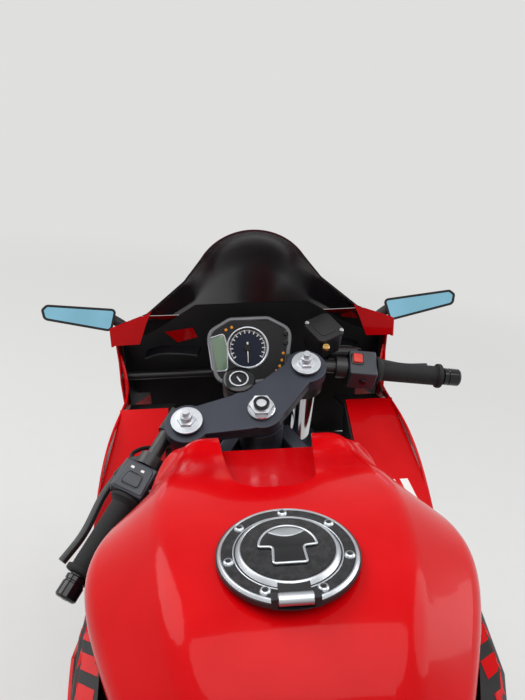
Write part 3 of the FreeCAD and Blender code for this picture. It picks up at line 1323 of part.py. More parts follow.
def make_rider_pegs():
    """Hangers on the pivot plates with pegs, gear pedal on the left and brake pedal on the right."""
    hanger = plate([(560, 500, 12), (520, 500, 12), (455, 345, 16), (455, 315, 12), (520, 285, 12), (560, 285, 12)], "xz", 150, 156)
    hanger = hanger.cut(plate([(545, 440, 8), (530, 440, 8), (492, 345, 8), (545, 320, 8)], "xz", 149, 157))
    posts = [rod(V(540, PLATE_OUT + SEAT_GAP, z), V(540, 152, z), 7) for z in (488, 302)]
    peg = rod(V(472, 154, 330), V(472, 236, 330), 11)
    pedal = fused([rod(V(540, 157, 302), V(618, 172, 318), 5), rod(V(618, 166, 318), V(618, 206, 318), 8)])
    boss = rod(V(540, 150, 302), V(540, 162, 302), 10)
    return pair(fused([hanger, peg, pedal, boss] + posts))


def make_passenger_pegs():
    hanger = tube([V(330, 98, 716), V(300, 118, 640), V(250, 140, 560)], 9)
    peg = rod(V(250, 132, 560), V(250, 214, 560), 10)
    return pair(fused([hanger, peg]))


def make_stand_bobbins():
    """Spools on the swingarm's sides for a paddock stand."""
    profile = [(140, 0), (140, 13), (152, 13), (152, 8), (162, 8), (162, 14), (166, 14), (166, 0)]
    spool = turned(profile, V(96, 0, REAR_TYRE_R + 14), Y_AXIS, X_AXIS)
    return pair(spool.cut(make_swingarm()))


# Placing

def on_stand(shape, pitch, shift):
    placed = shape.copy()
    placed.rotate(V(0, 0, 0), Y_AXIS, pitch)
    placed.rotate(V(0, 0, 0), X_AXIS, -LEAN)
    placed.translate(shift)
    return placed


def turned_head(shape, angle):
    placed = shape.copy()
    placed.rotate(V(0, 0, 0), Z_AXIS, angle)
    return in_head(placed)


def lowest_of_wheel(centre, axle, outer_r, half):
    """Lowest point of a tyre whose tread is an arc of the tyre's half width."""
    bend = crown_radius(outer_r, half)
    return centre.z - (outer_r - bend) * math.sqrt(1 - axle.z ** 2) - bend


def crown_radius(outer_r, half):
    depth = half
    return (half ** 2 + depth ** 2) / (2.0 * depth)


def lean_vector(v, pitch):
    m = FreeCAD.Rotation(X_AXIS, -LEAN).multiply(FreeCAD.Rotation(Y_AXIS, pitch))
    return m.multVec(v)


def wheel_places():
    turn = FreeCAD.Rotation(Y_AXIS, -RAKE).multiply(FreeCAD.Rotation(Z_AXIS, STEER_LOCK))
    front = turn.multVec(V(FORK_OFFSET, 0, AXLE_W)) + V(HEAD_X, 0, HEAD_TOP_Z)
    return V(0, 0, REAR_TYRE_R), Y_AXIS, front, turn.multVec(Y_AXIS)


def solve_pitch():
    """The small pitch that brings both tyres to the same ground."""
    rear, rear_axle, front, front_axle = wheel_places()
    low, high = -3.0, 3.0
    for _ in range(60):
        pitch = (low + high) / 2.0
        a = lowest_of_wheel(lean_vector(rear, pitch), lean_vector(rear_axle, pitch), REAR_TYRE_R, REAR_TYRE_HALF)
        b = lowest_of_wheel(lean_vector(front, pitch), lean_vector(front_axle, pitch), FRONT_TYRE_R, FRONT_TYRE_HALF)
        if b > a:
            low = pitch
        else:
            high = pitch
    return pitch, a


def build_nodes():
    """Every node's shape by body: drawn in the steering head or in the upright bike."""
    head = {}
    bike = {}
    front = V(FORK_OFFSET, 0, AXLE_W)
    rear = V(0, 0, REAR_TYRE_R)
    pitch, ground_z = solve_pitch()

    def ground(y):
        """Height of the ground under the stand in the upright bike."""
        x = STAND_FOOT.x
        lean, nose = math.radians(LEAN), math.radians(pitch)
        return (ground_z + y * math.sin(lean)) / math.cos(lean) / math.cos(nose) + x * math.tan(nose)

    head["top_yoke"] = make_top_yoke()
    head["lower_yoke"] = make_lower_yoke()
    head["fork_stanchions"] = make_stanchions()
    head["fork_sliders"] = make_sliders()
    head["yoke_caps"] = make_yoke_caps()
    head["ignition_switch"] = make_ignition().cut(head["top_yoke"])
    head["clip_ons"] = make_clip_ons()
    head["grips"] = make_grips()
    head["switchgear"] = make_switchgear()
    head["hand_levers"] = make_hand_levers()
    head["front_calipers"] = make_calipers()
    head["front_mudguard"] = make_front_mudguard().cut(head["fork_sliders"])
    head["front_axle"] = make_front_axle()
    head["front_tyre"] = make_tyre(front, FRONT_TYRE_R, FRONT_TYRE_HALF, FRONT_BEAD_HALF)
    head["front_rim"] = make_rim(front, FRONT_BEAD_HALF, FRONT_HUB_HALF, FRONT_HUB_HALF + 12, 15, 20)
    head["front_discs"] = Part.makeCompound([make_disc(front, FRONT_HUB_HALF + SEAT_GAP, FRONT_DISC_R, FRONT_DISC_T, s)
                                             for s in (1, -1)])

    bike["rear_tyre"] = make_tyre(rear, REAR_TYRE_R, REAR_TYRE_HALF, REAR_BEAD_HALF)
    bike["rear_rim"] = fused([make_rim(rear, REAR_BEAD_HALF, REAR_HUB_HALF, REAR_HUB_HALF + 12, 18, 50), make_carrier()])
    bike["rear_disc"] = make_disc(rear, REAR_HUB_HALF + SEAT_GAP, REAR_DISC_R, FRONT_DISC_T, -1)
    bike["rear_sprocket"] = make_sprocket(REAR_TEETH, V(0, CHAIN_Y, REAR_TYRE_R), SPIGOT_R + SEAT_GAP)
    bike["rear_axle"] = make_rear_axle()
    bike["main_frame"] = fused([make_main_frame(), make_stand_lug()])
    bike["subframe"] = make_subframe().cut(bike["main_frame"])
    bike["engine"] = make_engine().cut(bike["main_frame"])
    bike["front_sprocket"] = make_sprocket(FRONT_TEETH, V(FRONT_SPROCKET_X, CHAIN_Y, FRONT_SPROCKET_Z), 12)
    bike["silencer"] = make_silencer()
    pipes = make_exhaust().cut(bike["silencer"]).cut(bike["engine"])
    bike["exhaust_pipes"] = max(pipes.Solids, key=lambda piece: piece.Volume)
    bike["radiator"] = make_radiator()
    bike["swingarm"] = make_swingarm()
    bike["pivot_bolt"] = make_pivot_bolt()
    bike["drive_chain"] = make_chain()
    bike["rear_brake"] = make_rear_brake()
    bike["rear_shock"] = make_rear_shock()
    bike["fuel_tank"] = make_fuel_tank()
    bike["filler_neck"] = make_filler_neck()
    bike["fuel_lid"] = make_fuel_lid()
    bike["knee_panels"] = make_knee_panels()
    bike["rider_seat"] = make_rider_seat()
    bike["pillion_seat"] = make_pillion_seat()
    bike["tail_fairing"] = make_tail_fairing()
    bike["tail_light"] = make_tail_light()
    bike["plate_hanger"] = make_plate_hanger()
    bike["instrument_case"] = make_instruments()
    bike["upper_fairing"] = make_upper_fairing()
    bike["windscreen"] = make_windscreen()
    bike["headlights"] = pair(make_headlights())
    bike["headlight_bowls"] = make_headlight_bowls()
    bike["inner_panels"] = make_inner_panels().cut(bike["headlight_bowls"]).cut(bike["instrument_case"])
    bike["side_fairing_left"] = make_side_fairing()
    bike["side_fairing_right"] = mirrored(make_side_fairing())
    bike["belly_pan"] = make_belly_pan()
    bike["dial_face"] = make_dial_faces()
    bike["fairing_stay"] = make_fairing_stay()
    bike["mirrors"] = make_mirrors()
    bike["mirror_glass"] = make_mirror_glass()
    bike["indicators"] = make_indicators()
    bike["side_stand"] = make_side_stand(ground)
    bike["rider_pegs"] = make_rider_pegs()
    bike["passenger_pegs"] = make_passenger_pegs().cut(bike["subframe"])
    bike["stand_bobbins"] = make_stand_bobbins()
    return head, bike, pitch, ground_z


def main():
    os.makedirs("parts", exist_ok=True)
    head, bike, pitch, ground_z = build_nodes()
    placed = {}
    for name, shape in head.items():
        placed[name] = on_stand(turned_head(shape, STEER_LOCK), pitch, V(0, 0, 0))
    for name, shape in bike.items():
        placed[name] = on_stand(shape, pitch, V(0, 0, 0))
    whole = Part.makeCompound(list(placed.values()))
    b = whole.optimalBoundingBox() if hasattr(whole, "optimalBoundingBox") else whole.BoundBox
    shift = V(-(b.XMin + b.XMax) / 2.0, -(b.YMin + b.YMax) / 2.0, -b.ZMin)
    for name, shape in placed.items():
        shape.translate(shift)
        if not shape.isValid():
            print("not valid:", name)
        shape.exportStep("parts/%s.step" % name)
    print("pitch %.5f shift %.4f %.4f %.4f size %.1f %.1f %.1f" % (pitch, shift.x, shift.y, shift.z, b.XLength, b.YLength, b.ZLength))


main()
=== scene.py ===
"""Looks of a fully faired sport motorcycle parked on its side stand.

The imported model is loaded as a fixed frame. Every rigid node keeps its shape or is stood for
by a finer surface, and each gets a procedural material. Surfaces are worked out in millimetres,
in the upright bike or in its steering head, and placed in the leaning model's metres.
"""
from __future__ import annotations

import json
import logging
import math
from dataclasses import dataclass, field
from enum import Enum
from typing import Callable, Sequence

import bmesh
import bpy
import numpy as np
from mathutils import Matrix, Vector
from mathutils.bvhtree import BVHTree

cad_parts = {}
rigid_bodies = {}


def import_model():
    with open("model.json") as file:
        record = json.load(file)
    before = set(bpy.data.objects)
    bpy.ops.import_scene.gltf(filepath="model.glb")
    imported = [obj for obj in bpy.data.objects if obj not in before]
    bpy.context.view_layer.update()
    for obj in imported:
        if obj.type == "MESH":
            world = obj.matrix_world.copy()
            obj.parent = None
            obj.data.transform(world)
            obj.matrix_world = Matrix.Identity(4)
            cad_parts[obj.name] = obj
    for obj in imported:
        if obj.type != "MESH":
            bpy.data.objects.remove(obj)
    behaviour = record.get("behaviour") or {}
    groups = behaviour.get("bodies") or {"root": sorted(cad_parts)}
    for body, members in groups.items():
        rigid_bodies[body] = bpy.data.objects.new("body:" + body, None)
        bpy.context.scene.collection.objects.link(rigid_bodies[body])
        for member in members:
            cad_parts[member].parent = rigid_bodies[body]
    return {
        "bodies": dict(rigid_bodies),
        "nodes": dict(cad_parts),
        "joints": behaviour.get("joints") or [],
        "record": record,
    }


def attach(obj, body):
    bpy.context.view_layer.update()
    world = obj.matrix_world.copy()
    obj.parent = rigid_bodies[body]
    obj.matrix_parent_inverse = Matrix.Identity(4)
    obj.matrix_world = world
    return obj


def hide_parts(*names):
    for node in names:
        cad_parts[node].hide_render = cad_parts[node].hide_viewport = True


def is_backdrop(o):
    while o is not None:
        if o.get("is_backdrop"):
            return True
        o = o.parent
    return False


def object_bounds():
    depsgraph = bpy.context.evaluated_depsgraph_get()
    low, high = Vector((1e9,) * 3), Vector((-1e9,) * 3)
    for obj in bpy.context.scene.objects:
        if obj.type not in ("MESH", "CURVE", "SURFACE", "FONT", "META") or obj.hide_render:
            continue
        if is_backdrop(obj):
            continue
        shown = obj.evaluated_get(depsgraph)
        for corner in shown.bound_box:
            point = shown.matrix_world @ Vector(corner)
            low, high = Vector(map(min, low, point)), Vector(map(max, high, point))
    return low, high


LOG = logging.getLogger("motorcycle")
Array = np.ndarray

# Below this a length counts as nought
TINY = 1e-9

# Metres between two points of a mesh that count as one
MERGE = 1e-6

# Rings of a rounded edge
EDGE_RINGS = 4


# Places

def turn_matrix(axis: Sequence[float], degrees: float) -> Array:
    """Rotation about an axis by the right-hand rule.

    Args:
        axis: the axis, of any length.
        degrees: the angle.

    Returns:
        A 3 by 3 matrix: I + sin(t) K + (1 - cos(t)) K K, with K the axis's cross-product matrix.
    """
    a = np.asarray(axis, float)
    a = a / np.linalg.norm(a)
    t = math.radians(degrees)
    k = np.array([[0, -a[2], a[1]], [a[2], 0, -a[0]], [-a[1], a[0], 0]])
    return np.eye(3) + math.sin(t) * k + (1 - math.cos(t)) * k @ k


@dataclass
class Stance:
    """Where the upright bike and its steering head stand in the model's frame.

    Points of the bike are in millimetres from the ground under the rear axle; points of the
    head are in millimetres from the top yoke's face, with the third value along the steering axis.
    """

    joints: list[dict]
    lean: float = 10.0
    rake: float = 24.0
    lock: float = 28.0
    rear_axle_z: float = 315.0
    head_top_z: float = 915.0
    wheelbase: float = 1390.0
    trail: float = 95.0
    turn: Array = field(init=False)
    shift: Array = field(init=False)
    head_x: float = field(init=False)

    def __post_init__(self) -> None:
        """Works out the nose-down angle and the shift from the two joints' places."""
        rear = self.joint("rear_wheel_spin")
        self.head_x = self.wheelbase + self.trail - self.head_top_z * math.tan(math.radians(self.rake))
        gap = self.joint("steering") - rear
        rise = self.head_top_z - self.rear_axle_z
        pitch = math.degrees(math.atan2(rise, self.head_x) - math.atan2(math.hypot(gap[1], gap[2]), gap[0]))
        self.turn = turn_matrix((1, 0, 0), -self.lean) @ turn_matrix((0, 1, 0), pitch)
        self.shift = rear - self.turn @ np.array([0, 0, self.rear_axle_z])

    def joint(self, name: str) -> Array:
        """A joint's place in the model's frame, in millimetres."""
        return np.array(next(j["pos_m"] for j in self.joints if j["name"] == name)) * 1000

    def head_turn(self) -> Array:
        """The turn of the steering head at its stop, in the upright bike."""
        return turn_matrix((0, 1, 0), -self.rake) @ turn_matrix((0, 0, 1), self.lock)

    def bike(self, points: Array) -> Array:
        """Places points of the upright bike, in millimetres, in the model's frame, in metres."""
        return (np.asarray(points, float) @ self.turn.T + self.shift) / 1000

    def head(self, points: Array) -> Array:
        """Places points of the steering head, turned to its stop, in the model's frame, in metres."""
        turned_points = np.asarray(points, float) @ self.head_turn().T
        return self.bike(turned_points + np.array([self.head_x, 0, self.head_top_z]))


# Surfaces

Place = Callable[[Array], Array]


def outline(corners: Sequence[tuple[float, float, float]], steps: int = 6) -> Array:
    """A closed plane outline whose corners are rounded.

    Args:
        corners: two coordinates and a radius each.
        steps: points on each rounded corner.

    Returns:
        Points in order: at a corner of half angle h, the arc of radius r touches both sides at
        r / tan(h) from it, about a centre on the bisector at r / sin(h).
    """
    made = []
    here = np.array([c[:2] for c in corners], float)
    for point, before, after, corner in zip(here, np.roll(here, 1, 0), np.roll(here, -1, 0), corners):
        if corner[2] <= 0:
            made.append(point[None])
            continue
        a = (before - point) / np.linalg.norm(before - point)
        b = (after - point) / np.linalg.norm(after - point)
        half = math.acos(float(np.clip(a @ b, -1, 1))) / 2
        middle = point + (a + b) / np.linalg.norm(a + b) * corner[2] / math.sin(half)
        start, finish = point + a * corner[2] / math.tan(half), point + b * corner[2] / math.tan(half)
        first = math.atan2(*(start - middle)[::-1])
        sweep = (math.atan2(*(finish - middle)[::-1]) - first + math.pi) % (2 * math.pi) - math.pi
        angles = first + sweep * np.linspace(0, 1, steps)
        made.append(middle + corner[2] * np.stack([np.cos(angles), np.sin(angles)], 1))
    return np.concatenate(made)


def circle(radius: float, steps: int = 48, centre: tuple[float, float] = (0.0, 0.0)) -> Array:
    """A circle as evenly spaced points: centre plus radius times (cos t, sin t)."""
    t = np.arange(steps) * 2 * math.pi / steps
    return np.array(centre) + radius * np.stack([np.cos(t), np.sin(t)], 1)


def rectangle(first: tuple[float, float], last: tuple[float, float], radius: float) -> Array:
    """A rectangle with rounded corners, from one corner to the opposite one."""
    (x0, y0), (x1, y1) = first, last
    return outline([(x0, y0, radius), (x1, y0, radius), (x1, y1, radius), (x0, y1, radius)])


def moved_in(points: Array, distance: float) -> Array:
    """An outline moved inwards.

    Args:
        points: the closed outline.
        distance: how far each point goes; below nought it goes outwards.

    Returns:
        Each point moved along the mean of its two sides' inner normals; the sign of the
        outline's area says which side is the inner one.
    """
    after = np.roll(points, -1, 0)
    side = after - points
    side /= np.maximum(np.linalg.norm(side, axis=1, keepdims=True), TINY)
    area = float(np.sum(points[:, 0] * after[:, 1] - after[:, 0] * points[:, 1]))
    normal = np.stack([-side[:, 1], side[:, 0]], 1) * (1 if area > 0 else -1)
    mean = normal + np.roll(normal, 1, 0)
    mean /= np.maximum(np.linalg.norm(mean, axis=1, keepdims=True), TINY)
    return points + mean * distance


def at_height(points: Array, height: float) -> Array:
    """A plane outline with the height as its third coordinate."""
    return np.column_stack([points, np.full(len(points), height)])


def stepped(points: Array, steps: Sequence[tuple[float, float]]) -> Array:
    """Rings of an outline: moved in by each step's first number, at the height of its second."""
    return np.array([at_height(moved_in(points, inset), height) for inset, height in steps])


def slab(points: Array, low: float, high: float, edge: float = 1.0, bottom: float = 0.0) -> Array:
    """Rings of a flat piece with rounded edges.

    Args:
        points: its outline in its plane.
        low: height of its underside.
        high: height of its face.
        edge: radius of the round at the face.
        bottom: radius of the round at the underside.

    Returns:
        Rings from the underside to the face: the outline moved in by r (1 - sin t), at a
        height r (1 - cos t) above low or below high.
    """
    rings = []
    for radius, level, sign in ((bottom, low, 1), (edge, high, -1)):
        turns = np.linspace(0, math.pi / 2, EDGE_RINGS) if radius > 0 else np.array([math.pi / 2])
        for t in turns[::sign]:
            inset = radius * (1 - math.sin(t))
            ring = moved_in(points, inset) if inset > TINY else points
            rings.append(at_height(ring, level + sign * radius * (1 - math.cos(t))))
    return np.array(rings)


def turned(profile: Sequence[tuple[float, float]], steps: int = 64) -> Array:
    """A profile carried round the third axis.

    Args:
        profile: a height h and a radius r for each ring.
        steps: points on each ring.

    Returns:
        Rings of (r cos t, r sin t, h), with t round a full turn.
    """
    rows = np.array(profile, float)
    t = np.arange(steps) * 2 * math.pi / steps
    return np.stack([rows[:, 1:] * np.cos(t), rows[:, 1:] * np.sin(t), np.repeat(rows[:, :1], steps, 1)], -1)


def eased(points: Sequence[Sequence[float]], per: int = 8) -> Array:
    """A smooth path through points.

    Args:
        points: the points, with any number of coordinates.
        per: steps from one of them to the next.

    Returns:
        Points of cubic pieces whose slope at a point is half of the next less the one before.
    """
    p = np.array(points, float)
    p = np.concatenate([2 * p[:1] - p[1:2], p, 2 * p[-1:] - p[-2:-1]])
    t = np.linspace(0, 1, per, endpoint=False)[None, :, None]
    a, b, c, d = (p[i:len(p) - 3 + i][:, None] for i in range(4))
    rows = 0.5 * (2 * b + (c - a) * t + (2 * a - 5 * b + 4 * c - d) * t**2 + (3 * b - a - 3 * c + d) * t**3)
    return np.concatenate([rows.reshape(-1, p.shape[1]), p[-2:-1]])


def piped(path: Array, section: Array, across: Sequence[float] = (0.0, 0.0, 1.0)) -> Array:
    """A section carried along a path.

    Args:
        path: points of the centre line.
        section: its outline, or one outline for each point of the path.
        across: a direction that the section's second axis leans to.

    Returns:
        Rings: path + a n + b m, where m is across less its part along the path and n is square to both.
    """
    way = np.gradient(path, axis=0)
    way /= np.linalg.norm(way, axis=1, keepdims=True)
    m = np.array(across, float) - way * (way @ np.array(across, float))[:, None]
    m /= np.linalg.norm(m, axis=1, keepdims=True)
    n = np.cross(m, way)
    shape = np.broadcast_to(section, (len(path),) + np.shape(section)[-2:])
    return path[:, None] + shape[..., :1] * n[:, None] + shape[..., 1:] * m[:, None]


@dataclass
class Spot:
    """A local frame: an origin and three axes in the space that holds it."""

    origin: Array
    axes: Array
    outer: Place

    def __call__(self, points: Array) -> Array:
        """Places local points: origin + the sum of each coordinate times its axis, then the outer place."""
        return self.outer(np.asarray(points, float) @ self.axes + self.origin)


@dataclass
class Skin:
    """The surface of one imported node, found by rays in the upright bike's millimetres."""

    node: bpy.types.Object
    stance: Stance
    tree: BVHTree = field(init=False)

    def __post_init__(self) -> None:
        """Builds the search tree of the node's triangles."""
        shape = bmesh.new()
        shape.from_mesh(self.node.data)
        self.tree = BVHTree.FromBMesh(shape)
        shape.free()

    def at(self, start: Sequence[float], way: Sequence[float], lift: float = 0.0) -> Array:
        """A point of the surface, found by a ray.

        Args:
            start: where the ray starts, in the upright bike.
            way: its direction there, of any length.
            lift: how far the point is moved back along the ray, in millimetres.

        Returns:
            The first hit, or the point nearest to the start where the ray misses, in metres.
        """
        origin = self.stance.bike(np.array(start, float))
        ahead = self.stance.turn @ (np.array(way, float) / np.linalg.norm(way))
        hit = self.tree.ray_cast(Vector(origin.tolist()), Vector(ahead.tolist()))[0]
        if hit is None:
            hit = self.tree.find_nearest(Vector(origin.tolist()))[0]
        return np.array(hit) - ahead * lift / 1000

    def sheet(self, corners: Sequence[Sequence[float]], way: Sequence[float], lift: float,
              steps: tuple[int, int]) -> Array:
        """A four-cornered film laid on the surface.

        Args:
            corners: the film's four corners in order, in the upright bike.
            way: the direction in which they are cast onto the surface.
            lift: how far the film lies above it, in millimetres.
            steps: points along the first and the second side.

        Returns:
            A grid in metres: bilinear points of the corners, each cast along the way.
        """
        a, b, c, d = (np.array(corner, float) for corner in corners)
        u, v = np.linspace(0, 1, steps[0])[:, None, None], np.linspace(0, 1, steps[1])[None, :, None]
        grid = (a * (1 - u) + b * u) * (1 - v) + (d * (1 - u) + c * u) * v
        return np.array([[self.at(point, way, lift) for point in row] for row in grid])


# Finishes

class Pattern(Enum):
    """The small relief of a finish."""

    SMOOTH = "smooth"
    GRAIN = "grain"
    BRUSHED = "brushed"
    LEATHER = "leather"
    CARBON = "carbon"
    FINS = "fins"


RELIEF_NODES: dict[Pattern, tuple[str, str]] = {
    Pattern.GRAIN: ("ShaderNodeTexNoise", "Fac"),
    Pattern.BRUSHED: ("ShaderNodeTexNoise", "Fac"),
    Pattern.LEATHER: ("ShaderNodeTexVoronoi", "Distance"),
    Pattern.CARBON: ("ShaderNodeTexChecker", "Fac"),
    Pattern.FINS: ("ShaderNodeTexWave", "Fac"),
}


def first_node(tree: bpy.types.NodeTree, kind: str) -> bpy.types.Node:
    """The first node of a kind."""
    return next(n for n in tree.nodes if n.type == kind)


@dataclass(frozen=True)
class Finish:
    """A procedural material.

    The base colour and the roughness are varied by one slow noise, and the relief is the
    pattern's; cloud and size are features per metre and the depth is in metres.
    """

    name: str
    colour: tuple[float, float, float]
    roughness: float = 0.5
    metallic: float = 0.0
    coat: float = 0.0
    specular: float = 0.5
    variation: float = 0.06
    cloud: float = 14.0
    wear: float = 0.05
    pattern: Pattern = Pattern.GRAIN
    size: float = 900.0
    depth: float = 0.0002
    transmission: float = 0.0
    sheen: float = 0.0
    coat_roughness: float = 0.04
    lightest: float = 0.002
    ramp: tuple[float, float] = (0.35, 0.65)
    strength: float = 0.6
    brush: float = 0.03

    def build(self) -> bpy.types.Material:
        """Builds the node tree, once for each name.

        Returns:
            The material.
        """
        found = bpy.data.materials.get(self.name)
        if found is not None:
            return found
        material = bpy.data.materials.new(self.name)
        material.use_nodes = True
        tree = material.node_tree
        shader = first_node(tree, "BSDF_PRINCIPLED")
        values = {"Metallic": self.metallic, "Coat Weight": self.coat, "Coat Roughness": self.coat_roughness,
                  "Specular IOR Level": self.specular, "Transmission Weight": self.transmission,
                  "Sheen Weight": self.sheen}
        for name, value in values.items():
            shader.inputs[name].default_value = value
        place = tree.nodes.new("ShaderNodeTexCoord")
        cloud = tree.nodes.new("ShaderNodeTexNoise")
        cloud.inputs["Scale"].default_value = self.cloud
        cloud.inputs["Detail"].default_value = 4.0
        tree.links.new(place.outputs["Object"], cloud.inputs["Vector"])
        tint = tree.nodes.new("ShaderNodeValToRGB")
        low = tuple(max(c * (1 - self.variation), 0) for c in self.colour)
        high = tuple(min(c * (1 + self.variation) + self.lightest, 1) for c in self.colour)
        for stop, position, colour in zip(tint.color_ramp.elements, self.ramp, (low, high)):
            stop.position, stop.color = position, (*colour, 1)
        tree.links.new(cloud.outputs["Fac"], tint.inputs["Fac"])
        tree.links.new(tint.outputs["Color"], shader.inputs["Base Color"])
        spread = tree.nodes.new("ShaderNodeMapRange")
        spread.inputs["To Min"].default_value = max(self.roughness - self.wear, 0.0)
        spread.inputs["To Max"].default_value = min(self.roughness + self.wear, 1.0)
        tree.links.new(cloud.outputs["Fac"], spread.inputs["Value"])
        tree.links.new(spread.outputs["Result"], shader.inputs["Roughness"])
        if self.pattern is not Pattern.SMOOTH:
            self._relief(tree, place, shader)
        return material

    def _relief(self, tree: bpy.types.NodeTree, place: bpy.types.Node, shader: bpy.types.Node) -> None:
        """Adds the pattern's bump.

        Args:
            tree: the material's nodes.
            place: the node that gives the object's coordinates.
            shader: the node that takes the bent normal.
        """
        bump = tree.nodes.new("ShaderNodeBump")
        bump.inputs["Distance"].default_value = self.depth
        bump.inputs["Strength"].default_value = self.strength
        kind, output = RELIEF_NODES[self.pattern]
        source = tree.nodes.new(kind)
        source.inputs["Scale"].default_value = self.size
        if self.pattern is Pattern.LEATHER:
            source.feature = "SMOOTH_F1"
        elif self.pattern is Pattern.FINS:
            source.bands_direction = "Z"
        elif self.pattern in (Pattern.GRAIN, Pattern.BRUSHED):
            source.inputs["Detail"].default_value = 3.0
        vector = place.outputs["Object"]
        if self.pattern is Pattern.BRUSHED:
            stretch = tree.nodes.new("ShaderNodeMapping")
            stretch.inputs["Scale"].default_value = (self.brush, 1.0, 1.0)
            tree.links.new(vector, stretch.inputs["Vector"])
            vector = stretch.outputs["Vector"]
        tree.links.new(vector, source.inputs["Vector"])
        tree.links.new(source.outputs[output], bump.inputs["Height"])
        tree.links.new(bump.outputs["Normal"], shader.inputs["Normal"])


RED = Finish("red_gloss_paint", (0.58, 0.0008, 0.003), 0.2, coat=0.16, specular=0.06, variation=0.04,
             wear=0.03, pattern=Pattern.SMOOTH)
BLACK_PLASTIC = Finish("black_moulded_plastic", (0.010, 0.010, 0.011), 0.5, specular=0.3, variation=0.2,
                       depth=0.0003, size=1400)
BLACK_GLOSS = Finish("black_gloss_plastic", (0.006, 0.006, 0.008), 0.12, coat=0.2, specular=0.3,
                     pattern=Pattern.SMOOTH)
DARK_METAL = Finish("dark_satin_casting", (0.026, 0.031, 0.045), 0.42, metallic=0.4, variation=0.1, size=1600,
                    depth=0.00025)
SILVER = Finish("silver_casting", (0.50, 0.52, 0.55), 0.34, metallic=1.0, size=1500)
BLACK_METAL = Finish("black_painted_metal", (0.015, 0.015, 0.017), 0.35, metallic=0.2, size=1200)
STEEL = Finish("bare_steel", (0.42, 0.42, 0.43), 0.32, metallic=1.0, pattern=Pattern.BRUSHED, size=2600,
               depth=0.0001)
CHROME = Finish("polished_chrome", (0.62, 0.63, 0.65), 0.08, metallic=1.0, wear=0.02, pattern=Pattern.SMOOTH)
RUBBER = Finish("grip_rubber", (0.011, 0.011, 0.012), 0.72, specular=0.3, variation=0.15, size=1800,
                depth=0.0003)
TYRE = Finish("tyre_rubber", (0.014, 0.014, 0.015), 0.8, variation=0.2, size=1300, depth=0.0004)
LEATHER = Finish("seat_cover", (0.014, 0.014, 0.015), 0.55, pattern=Pattern.LEATHER, size=420, depth=0.0006,
                 sheen=0.1)
SMOKE = Finish("smoked_screen", (0.002, 0.002, 0.003), 0.09, specular=0.08, wear=0.02, pattern=Pattern.SMOOTH)
CLEAR = Finish("clear_lens", (0.80, 0.83, 0.86), 0.05, transmission=0.7, wear=0.02, pattern=Pattern.SMOOTH)
RED_LENS = Finish("red_lens", (0.45, 0.005, 0.005), 0.1, coat=0.8, size=300, depth=0.0005)
AMBER = Finish("amber_lens", (0.75, 0.22, 0.01), 0.12, coat=0.8, size=300, depth=0.0005)
MIRROR = Finish("blue_mirror_glass", (0.30, 0.62, 0.80), 0.03, metallic=1.0, wear=0.01,
                pattern=Pattern.SMOOTH)
DIAL = Finish("dial_print", (0.006, 0.010, 0.026), 0.35, specular=0.25, pattern=Pattern.SMOOTH)
CARBON = Finish("woven_black_gloss", (0.014, 0.014, 0.016), 0.24, coat=0.15, specular=0.3, variation=0.5,
                cloud=160.0, pattern=Pattern.CARBON, size=420, depth=0.0006)
NEEDLE = Finish("needle_enamel", (0.85, 0.80, 0.70), 0.4, pattern=Pattern.SMOOTH)
DISPLAY = Finish("display_window", (0.16, 0.24, 0.16), 0.15, coat=0.6, pattern=Pattern.SMOOTH)
CORE = Finish("radiator_core", (0.03, 0.03, 0.032), 0.45, metallic=0.5, pattern=Pattern.FINS, size=90.0,
              depth=0.0015)
BEZEL = Finish("satin_grey_bezel", (0.20, 0.205, 0.215), 0.38, metallic=0.6, size=1500, depth=0.0001)
BRASS = Finish("brass_screw", (0.55, 0.36, 0.12), 0.3, metallic=1.0, size=1500, depth=0.0001)
KILL_RED = Finish("red_switch", (0.62, 0.03, 0.012), 0.4, size=1500, depth=0.0001)
WHITE_FILM = Finish("white_film", (0.80, 0.80, 0.78), 0.25, coat=0.6, pattern=Pattern.SMOOTH)
REFLECTOR = Finish("lamp_reflector", (0.75, 0.76, 0.78), 0.12, metallic=1.0, pattern=Pattern.SMOOTH)
BULB = Finish("lamp_bulb", (0.85, 0.86, 0.88), 0.05, transmission=0.6, pattern=Pattern.SMOOTH)
SWITCH_GREY = Finish("grey_switch_plastic", (0.030, 0.036, 0.046), 0.42, variation=0.15, size=1500)
WHITE = Finish("plate_enamel", (0.78, 0.78, 0.75), 0.35, depth=0.0001)

SLOT_FINISHES: dict[str, Finish] = {
    "red_paint": RED, "black_plastic": BLACK_PLASTIC, "dark_metal": DARK_METAL, "bright_metal": SILVER,
    "black_metal": BLACK_METAL, "steel": STEEL, "chrome": CHROME, "rubber": RUBBER, "tyre": TYRE,
    "seat_cover": LEATHER, "smoked_screen": SMOKE, "clear_lens": CLEAR, "red_lens": RED_LENS,
    "amber_lens": AMBER, "mirror": MIRROR, "dial": DIAL,
}

NODE_FINISHES: dict[str, Finish] = {"radiator": CORE, "switchgear": SWITCH_GREY}


def node_finish(frame: dict, name: str) -> Finish:
    """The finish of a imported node: its own one, or else that of its slot in the record."""
    slots = {s["node"]: s["material_slot"] for s in frame["record"]["subparts"]}
    return NODE_FINISHES.get(name, SLOT_FINISHES[slots[name]])


@dataclass
class PackedNodes:
    """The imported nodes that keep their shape."""

    frame: dict

    def dress(self) -> None:
        """Gives each node its finish."""
        for name, node in self.frame["nodes"].items():
            node.data.materials.clear()
            node.data.materials.append(node_finish(self.frame, name).build())


# Pieces

def linked(name: str, data: bpy.types.ID) -> bpy.types.Object:
    """Links a new object to the scene.

    Args:
        name: the object's name.
        data: its mesh, lamp or camera.

    Returns:
        The object.
    """
    obj = bpy.data.objects.new(name, data)
    bpy.context.scene.collection.objects.link(obj)
    return obj


